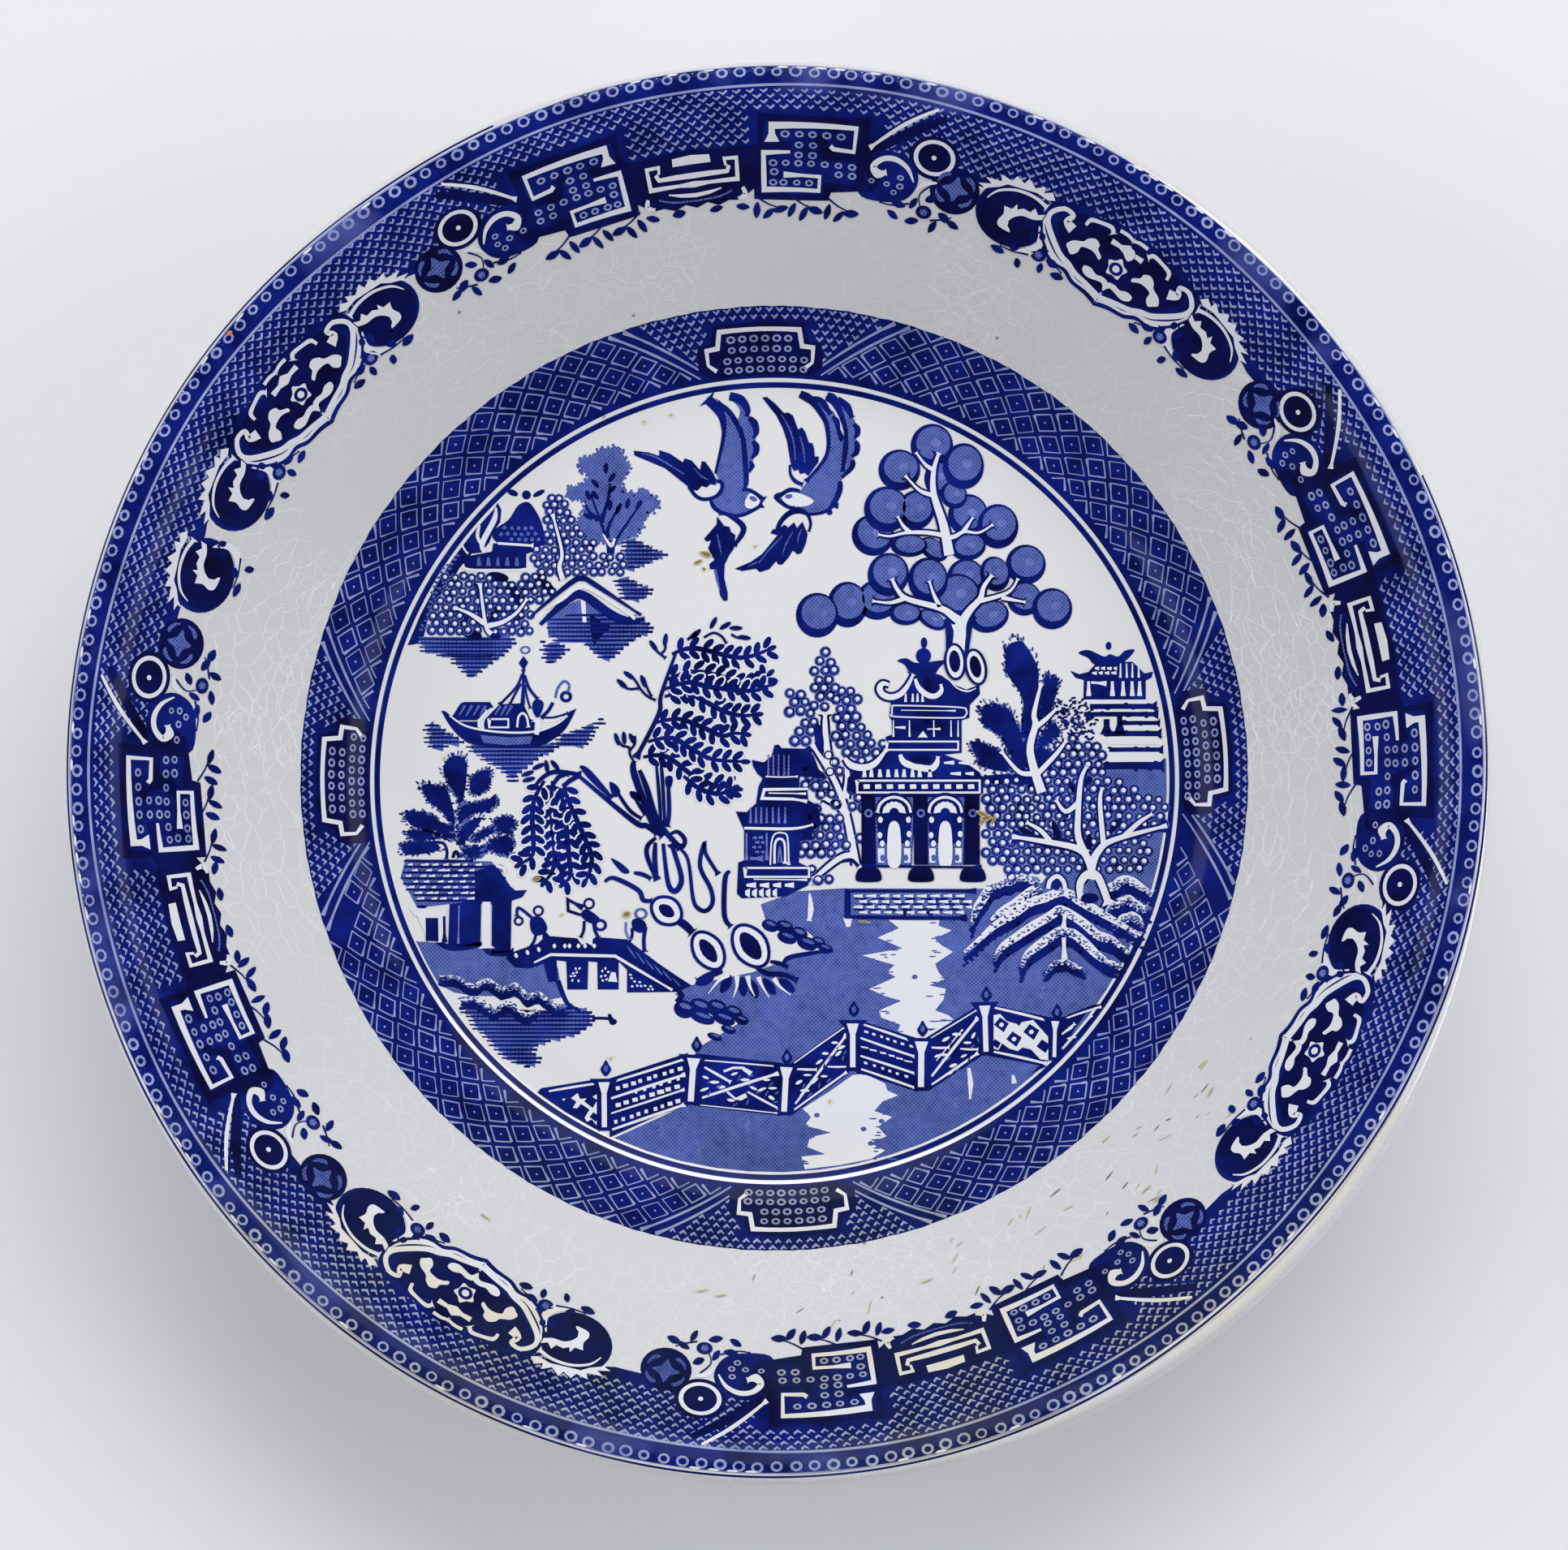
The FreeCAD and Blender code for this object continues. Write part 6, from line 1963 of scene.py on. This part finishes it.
# the boat
for outline in (
    [(-60.2, 10), (-57.4, 9.8), (-55, 8), (-52, 6.2), (-59.4, 5.8), (-59.8, 7.8)],
    [(-53.4, 5.9), (-36.8, 6), (-40.4, 4), (-42.8, 2), (-44.2, 0), (-45.6, 0.1), (-47.4, 2), (-51.4, 4.4)],
    [(-38.4, 6.2), (-32.2, 6.2), (-31.2, 8.2), (-29, 10.4), (-29.8, 11.2), (-31.4, 10), (-38, 7.6)],
):
    hatch(outline, 2, 0.7, 0.4)
scene.use("dark", 4).fill(
    curve([
        (-57, 12), (-55.6, 9.6), (-53.6, 7.4), (-50.8, 6.2), (-41.4, 6), (-38.4, 7), (-36, 9),
        (-34.2, 12.4),
    ])
    + curve([
        (-35.4, 11.9), (-37.2, 10.2), (-40.6, 8.8), (-46, 8.4), (-50.8, 9), (-54.2, 10.4), (-56.4, 12),
    ]),
)
scene.use("mid", 5).fill([(-50.4, 7.9), (-45.6, 7.5), (-41.6, 7.7), (-42, 6.4), (-46, 6.2), (-49.8, 6.6)])
scene.use("dark", 4).fill([(-54.4, 10.2), (-50.9, 10.2), (-50.9, 8.2), (-53.4, 8.8)])
scene.fill([(-55.3, 10.8), (-53.8, 13.2), (-53.2, 13.5), (-48.8, 13.5), (-48.2, 12.6), (-48.9, 12.4),
    (-51, 10.4), (-54.6, 10.4)])
scene.fill([(-49.8, 9.8), (-49.6, 10.6), (-47.2, 13.1), (-43.2, 13.3), (-42, 10.6), (-41.2, 10.3),
    (-41.4, 8), (-49.6, 8.2)])
scene.use("mid", 5)
for x in (-53.4, -52.2, -51, -49.9, -47.4, -46.4, -45.5):
    scene.stroke([(x - 0.6, 11.2), (x + 0.4, 12.9)], 0.22)
scene.use("white", 5).stroke([(-55.6, 11.2), (-53, 9.5), (-49, 8.6), (-44, 8.3), (-40.2, 8.7), (-37.2, 10),
    (-35.8, 11.2)], [0.25, 0.36, 0.36, 0.34, 0.25])
frame_lines(-48.9, -45.7, 10.6, 9.2, 0.3)
scene.stroke([(-44.2, 9.2), (-44, 10.9), (-43.3, 11.6), (-42.6, 10.9), (-42.3, 9.2)], 0.36)
scene.stroke([(-50.6, 9.2), (-50.5, 10.4), (-49.2, 12)], 0.45)
scene.stroke([(-41, 8), (-40.6, 9.6), (-41.2, 10.6)], 0.8)
scene.stroke([(-40.2, 10.2), (-38, 10.3), (-36.6, 11)], 0.4)
scene.use("dark", 6).stroke([(-43.3, 13), (-43.2, 16), (-43.2, 19)], [0.8, 0.5, 0.4])
scene.fill([(-43.2, 21.3), (-42.4, 20.2), (-43.1, 18.8), (-44, 20.1)])
scene.stroke([(-43.4, 18.2), (-44.4, 16), (-47.2, 13)], 0.42)
scene.stroke([(-43.6, 16.6), (-44.6, 14.8), (-45.4, 13.2)], 0.42)
scene.stroke([(-43, 18), (-42.2, 15.8), (-40.8, 14)], 0.5)
scene.stroke([(-42.9, 16.4), (-42.6, 14.4), (-42, 12.4)], 0.36)
scene.blob([(-41.6, 13.4), (-40.8, 14), (-39.8, 13.4), (-40, 12), (-40.8, 10.8), (-41.6, 12)])
scene.stroke([(-38.2, 13.4), (-39, 12), (-40.2, 10.8)], 0.6)
scene.stroke([(-40.2, 10.9), (-38, 10.9), (-35.6, 11.6)], 0.35)
scene.use("mid", 6).hoop((-42.9, 22.3), 0.9, 0.7, 0.6)
scene.use("dark", 6).hoop((-36, 14.4), 1.05, 1, 0.45)
scene.use("mid", 6).stroke([(-37.8, 14.2), (-37.4, 15.8), (-36.4, 17), (-35.5, 16.4), (-35.7, 15.2)], 0.42)


def leg(height, width):
    """A white post with dark sides: its foot, its head and its width."""
    (ax, ay), (bx, by) = height
    scene.use("dark", 7).stroke([(ax, ay - 0.6), (bx, by + 0.6)], width + 1.3, smooth=False)
    scene.use("white", 8).stroke([(ax, ay), (bx, by)], width, smooth=False)


def finial(x, y):
    """A pointed drop on a post, with a pale spot in it."""
    scene.use("dark", 7).blob([(x, y + 1.5), (x + 0.5, y + 0.7), (x + 0.9, y), (x + 0.6, y - 0.7),
        (x, y - 1.2), (x - 0.6, y - 0.7), (x - 0.9, y), (x - 0.5, y + 0.7)])
    scene.use("mid", 8).oval((x, y + 0.1), 0.36, 0.6, 0, 8)


# the fence in the foreground, panel by panel from the left
panels = (
    [(-39.9, -51.4), (-30, -49.8), (-30, -58.4), *shore(207, 217, 65.9)],
    [(-28.6, -49.8), (-15.4, -45.5), (-15.4, -54.4), (-20, -55.8), (-28.4, -59.6)],
    [(-14, -45.6), (0.4, -47.2), (0.2, -56), (-14.2, -54.3)],
    [(1.6, -47.4), (11.6, -40.3), (11.6, -48.9), (8, -51.4), (2.2, -55.8), (1.4, -55.8)],
    [(12.8, -39.9), (23.2, -43.1), (23, -52), (14.4, -49.2), (12.8, -49)],
    [(24.4, -43), (33.8, -37.2), (33.8, -46), (24.8, -51.9)],
    [(34.8, -37.3), (46.4, -39.8), *shore(134, 139, 65.4), (44.6, -47.8), (35, -46)],
    [(46.6, -39.8), (54.8, -37.2), *shore(125.5, 134, 65.4), (46.4, -46.6)],
)
for panel in panels:
    scene.use("dark", 4).fill(panel)
scene.use("white", 5)
for start, end, width in (
    ((-38.6, -51.9), (-30.6, -50.6), 0.42),
    ((-28.2, -50.4), (-15.8, -46.5), 0.42), ((-28.2, -53.1), (-15.8, -49.1), 0.5),
    ((-28.2, -55.6), (-15.9, -51.6), 0.36), ((-28, -58.3), (-15.8, -54.1), 0.5),
    ((-13.2, -46.7), (0, -47.8), 0.26), ((-12.6, -47.9), (-8.2, -50.4), 0.46),
    ((-5.4, -52), (-0.2, -54.8), 0.4),
    ((-13, -53), (-0.2, -48.9), 0.5), ((-13.3, -54.2), (-0.2, -55.6), 0.2),
    ((2.4, -47.2), (11, -41.1), 0.26), ((2.6, -54), (11.2, -42.4), 0.45), ((2.8, -48.2), (6.2, -48.3), 0.4),
    ((8, -47.8), (11.3, -47.8), 0.34),
    ((2.4, -55), (11.2, -48.7), 0.36), ((3.4, -52.6), (8.8, -45.6), 0.22),
    ((13.5, -40.6), (22.6, -43.7), 0.42), ((13.5, -43), (22.8, -46.2), 0.42),
    ((13.5, -46), (22.8, -49), 0.42), ((13.6, -48.2), (22.8, -51.4), 0.42),
    ((25, -43.2), (33.2, -38.2), 0.24), ((25.4, -49.4), (33.2, -39.6), 0.5),
    ((25.4, -50.8), (33.2, -45.5), 0.42), ((25.4, -44.6), (28.4, -44.6), 0.4),
    ((30.2, -44.8), (33.2, -44.9), 0.36), ((26.2, -46.8), (30.6, -41.6), 0.22),
    ((35.8, -37.9), (45.2, -40.2), 0.46), ((35.8, -45.3), (44.6, -47.3), 0.46),
    ((47.4, -39.9), (53.8, -37.8), 0.32), ((47.2, -44.8), (52.2, -39.2), 0.34),
    ((47.2, -42.4), (49.4, -40.6), 0.4),
):
    middle = ((start[0] + end[0]) / 2, (start[1] + end[1]) / 2 + random.uniform(-0.08, 0.08))
    scene.stroke([start, middle, end], [width * 0.7, width, width * 0.8])
for left, top, slope, count, gap, size in (
    (-27.2, -51.4, 0.31, 9, 1.3, 0.42), (-27, -54.2, 0.31, 8, 1.4, 0.62), (-27.4, -57, 0.33, 9, 1.3, 0.42),
    (-24, -52, 0.31, 6, 1.4, 0.3),
    (14.4, -42, -0.32, 7, 1.25, 0.34), (14.3, -44.6, -0.32, 6, 1.45, 0.7),
    (14.4, -47.2, -0.33, 6, 1.35, 0.34),
):
    for k in range(count):
        x, y = left + k * gap + random.uniform(-0.15, 0.15), top + k * gap * slope
        reach = size * random.uniform(0.7, 1.15)
        scene.fill([(x - reach, y + 0.26), (x + reach * 0.8, y + 0.26 + slope * reach),
            (x + reach, y - 0.24), (x - reach * 0.8, y - 0.24 - slope * reach)])
# fretwork chips in the crossed panels
for middle, turn in (
    ((-12.4, -49.6), -20), ((-10.9, -50.4), 0), ((-9.8, -51.2), 0), ((-12.6, -51.6), 20), ((-7.6, -49), 20),
    ((-5.6, -48.6), -30), ((-5.8, -50), 0),
    ((-8.2, -53.4), -10), ((-6.2, -53), 30), ((-4.4, -51.4), -25), ((-3, -51.6), 20), ((-1.2, -51.4), 0),
    ((-1.4, -53), -30), ((-2.2, -50), 0),
    ((3.2, -50.4), 30), ((4.2, -51.8), 0), ((5.8, -50.2), 40), ((7.4, -49.4), 0), ((6.6, -47), 35),
    ((7.6, -45.6), 0), ((9.8, -45.6), 40),
    ((9.2, -43.8), 0), ((4.6, -49.2), 0), ((10.2, -44.6), 20), ((26.4, -46), 20), ((27.4, -45.8), 0),
    ((27.8, -43.2), 30), ((29.6, -42.4), 0),
    ((30.8, -46), 25), ((29, -47.6), 20), ((32.4, -42.6), 60), ((31.4, -43.8), 0), ((28.2, -49), 20),
    ((48.4, -41.6), 30), ((48.8, -43), 10),
):
    scene.use("white", 5).oval(middle, random.uniform(0.6, 0.9), random.uniform(0.2, 0.34), turn, 7, 0.3)
    scene.use("mid", 5).oval((middle[0] + 0.8, middle[1] - 0.7), 0.6, 0.14, turn + 40, 6)
scene.use("white", 5).stroke([(-9.4, -48.6), (-7.8, -48), (-6.2, -48), (-4.8, -49)], 0.4, smooth=False)
scene.stroke([(-8.8, -52), (-7.4, -53.2), (-5.6, -52.6)], 0.36, smooth=False)
# the two panels with lozenges
scene.use("white", 5).fill(
    [(-36.4, -53.2), (-34.8, -53), (-33.8, -52.2), (-33.4, -53.2), (-31.6, -53), (-30.6, -52.4),
        (-30.6, -57.6), (-31.4, -56.6), (-32.2, -57), (-33.6, -54.8), (-35.2, -54.6)]
)
scene.fill([
    (35.8, -39.2), (36.9, -39), (38, -40.2), (39.4, -40.6), (42.4, -40), (44.9, -42.8), (44.9, -46.7),
    (43.6, -46.6), (42, -44.9), (40.6, -44.6), (39.8, -45.2), (38.4, -44.8), (37.2, -43.9), (36.6, -45),
    (35.8, -44.8),
])
for x, y, size in (
    (37.1, -40.8, 1.25), (42.1, -42, 1.35), (39.2, -43.2, 1.3), (44.1, -44.4, 1.15), (36.2, -44, 0.8),
    (39.9, -40.4, 0.6),
    (-35.2, -53.9, 1.2), (-31.6, -53.6, 1.1), (-33, -55.2, 1.2), (-31, -56.2, 0.8),
):
    scene.use("dark", 6).fill([(x - size, y), (x - 0.2 * size, y + size), (x + size, y + 0.2 * size),
        (x + 0.3 * size, y - size)])
    if size > 1.2:
        scene.use("white", 7).oval((x, y), 0.42, 0.38, 20, 8)
for height, width in (
    (((-29.3, -57.9), (-29.4, -50.4)), 0.85), (((-14.9, -53.6), (-14.4, -46.4)), 1),
    (((0.7, -55.3), (1.1, -47.9)), 0.95),
    (((12.2, -47.9), (12.2, -40.6)), 0.9), (((23.6, -51.2), (23.7, -43.6)), 1),
    (((34.5, -45.3), (34.3, -37.6)), 0.85), (((45.9, -46.2), (46.1, -40.2)), 0.6),
):
    leg(height, width)
for x, y in ((-29.1, -48.2), (-13.9, -44.2), (1.2, -46.3), (12.4, -38.3), (23.9, -41.6), (34.6, -35.8),
        (46.4, -38.8)):
    finial(x, y)

scene.lay("scene", "scene_print")

# ---------------------------------------------------------------------------------------------------------
# face_glaze, wear. Old chips in the glaze show the biscuit, stained brown; there are also a pale flake at
# the border, a rust spot, small pale stains and short brown streaks on the wall. Each is a thin scab on
# the glaze.

random.seed(31)
wear = Pen()
INKS["stain"] = Shader("Brown stain", (0.20, 0.13, 0.045), 0.5).material
INKS["ochre"] = Shader("Pale stain", (0.50, 0.42, 0.20), 0.4).material
INKS["rust"] = Shader("Rust spot", (0.55, 0.16, 0.03), 0.5).material


def chip(x, y, flakes):
    """A ragged chip: brown flakes round a pale middle."""
    for dx, dy, rx, ry, turn in flakes:
        wear.use("ochre", 16).oval((x + dx, y + dy), rx * 1.25, ry * 1.6, turn, 9, 0.3)
        wear.use("stain", 18).oval((x + dx, y + dy), rx, ry, turn, 9, 0.5)


chip(-12.4, 37.6, [(-0.1, 1, 0.9, 0.3, -15), (-1.4, -0.4, 0.7, 0.22, 25), (0.1, 0.7, 0.5, 0.2, -20),
    (-0.4, -1.6, 0.3, 0.2, -50)])
chip(34.6, -6, [(-0.6, 0.6, 0.9, 0.3, -25), (0.1, -0.1, 0.8, 0.35, 10), (1.3, -0.4, 0.8, 0.2, 70),
    (-0.6, -0.8, 0.6, 0.2, 40)])
chip(-25.7, -22.4, [(0, 0.1, 0.6, 0.4, 20)])
chip(-40.8, -16.4, [(0, 0, 0.6, 0.25, 15)])
chip(14.2, -23.6, [(0, 0, 0.9, 0.16, -5)])
for x, y in ((-22.9, 61), (-18.4, 62.2), (-56.4, 4), (8.4, -53.6), (-4.2, 39.9), (-36.6, -22.4),
        (-28.3, -46.4)):
    wear.use("ochre", 16).oval((x, y), 0.36, 0.2, random.uniform(0, 180), 7)
wear.use("white", 16).blob([(56.2, 84.6), (57, 85.2), (58, 84.4), (57.8, 83.4), (56.8, 83.2)])
wear.use("rust", 4).oval((-89, 70), 0.5, 0.4, 30, 9)
for x, y, turn in (
    (59.6, -68.1, 40), (61.2, -69.6, 45), (-12.7, -84.6, 10), (-9.6, -85.4, 8), (24, -83, 20),
    (70.4, -52.2, 60), (-48, -72.6, -35),
):
    wear.use("ochre", 16).oval((x, y), 1.1, 0.14, turn, 8, 0.4)
for _ in range(46):
    angle = math.radians(random.gauss(143, 17))
    radius = random.uniform(80, 93)
    wear.use(random.choice(("ochre", "ochre", "stain")), 4).oval(
        (radius * math.sin(angle), radius * math.cos(angle)),
        random.uniform(0.3, 1.3),
        random.uniform(0.06, 0.13),
        50 + random.uniform(-25, 25),
        8,
        0.4,
    )
wear.lay("wear", "face_glaze")

# ---------------------------------------------------------------------------------------------------------
# The stage. A flat pale table, a large lamp above the top of the print and a long one at each side, and
# the camera nearly overhead, a little towards the foot of the print.

bpy.ops.object.select_all(action="DESELECT")
bpy.ops.mesh.primitive_plane_add(size=4)
floor = bpy.context.object
floor.name = "floor"
paper = Shader("Paper", (0.78, 0.79, 0.805), 0.9)
paper.set("Specular IOR Level", 0.0)
floor.data.materials.append(paper.material)
floor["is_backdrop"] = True

world = bpy.data.worlds.new("World")
world.use_nodes = True
world.node_tree.nodes["Background"].inputs[0].default_value = (0.98, 0.99, 1.0, 1)
world.node_tree.nodes["Background"].inputs[1].default_value = 0.39
bpy.context.scene.world = world


def softbox(name, place, target, size, watts, colour=(1, 1, 1)):
    """A rectangular lamp that faces a point."""
    data = bpy.data.lights.new(name, "AREA")
    data.shape = "RECTANGLE"
    data.size, data.size_y = size
    data.energy = watts
    data.color = colour
    lamp = bpy.data.objects.new(name, data)
    lamp.location = place
    lamp.rotation_euler = (Vector(target) - Vector(place)).to_track_quat("-Z", "Y").to_euler()
    bpy.context.scene.collection.objects.link(lamp)


softbox("left_box", (-0.9, -0.05, 0.62), (0, 0, 0.03), (0.9, 0.3), 4.0, (0.93, 0.93, 1.0))
softbox("right_box", (0.9, 0.05, 0.62), (0, 0, 0.03), (0.9, 0.3), 4.0, (0.93, 0.93, 1.0))
softbox("top_box", (0.3, 1.35, 1.65), (0, 0, 0.03), (1.8, 1.05), 23.5)

camera_data = bpy.data.cameras.new("camera")
camera_data.lens = 107.0
camera_data.sensor_width = 36
camera = bpy.data.objects.new("camera", camera_data)
tilt = math.radians(4.7)
distance = 0.75
rim_middle = Vector((0.0007, -0.0016, 0.042))
camera.location = rim_middle + Vector((0, -math.sin(tilt), math.cos(tilt))) * distance
camera.rotation_euler = (tilt, 0, 0)
camera_data.clip_start = 0.05
bpy.context.scene.collection.objects.link(camera)
bpy.context.scene.camera = camera
bpy.context.scene.view_settings.view_transform = "Standard"

sizes = {"cad": cad_bounds, "visual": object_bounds()}
{name: [list(corner) for corner in box] for name, box in sizes.items()}
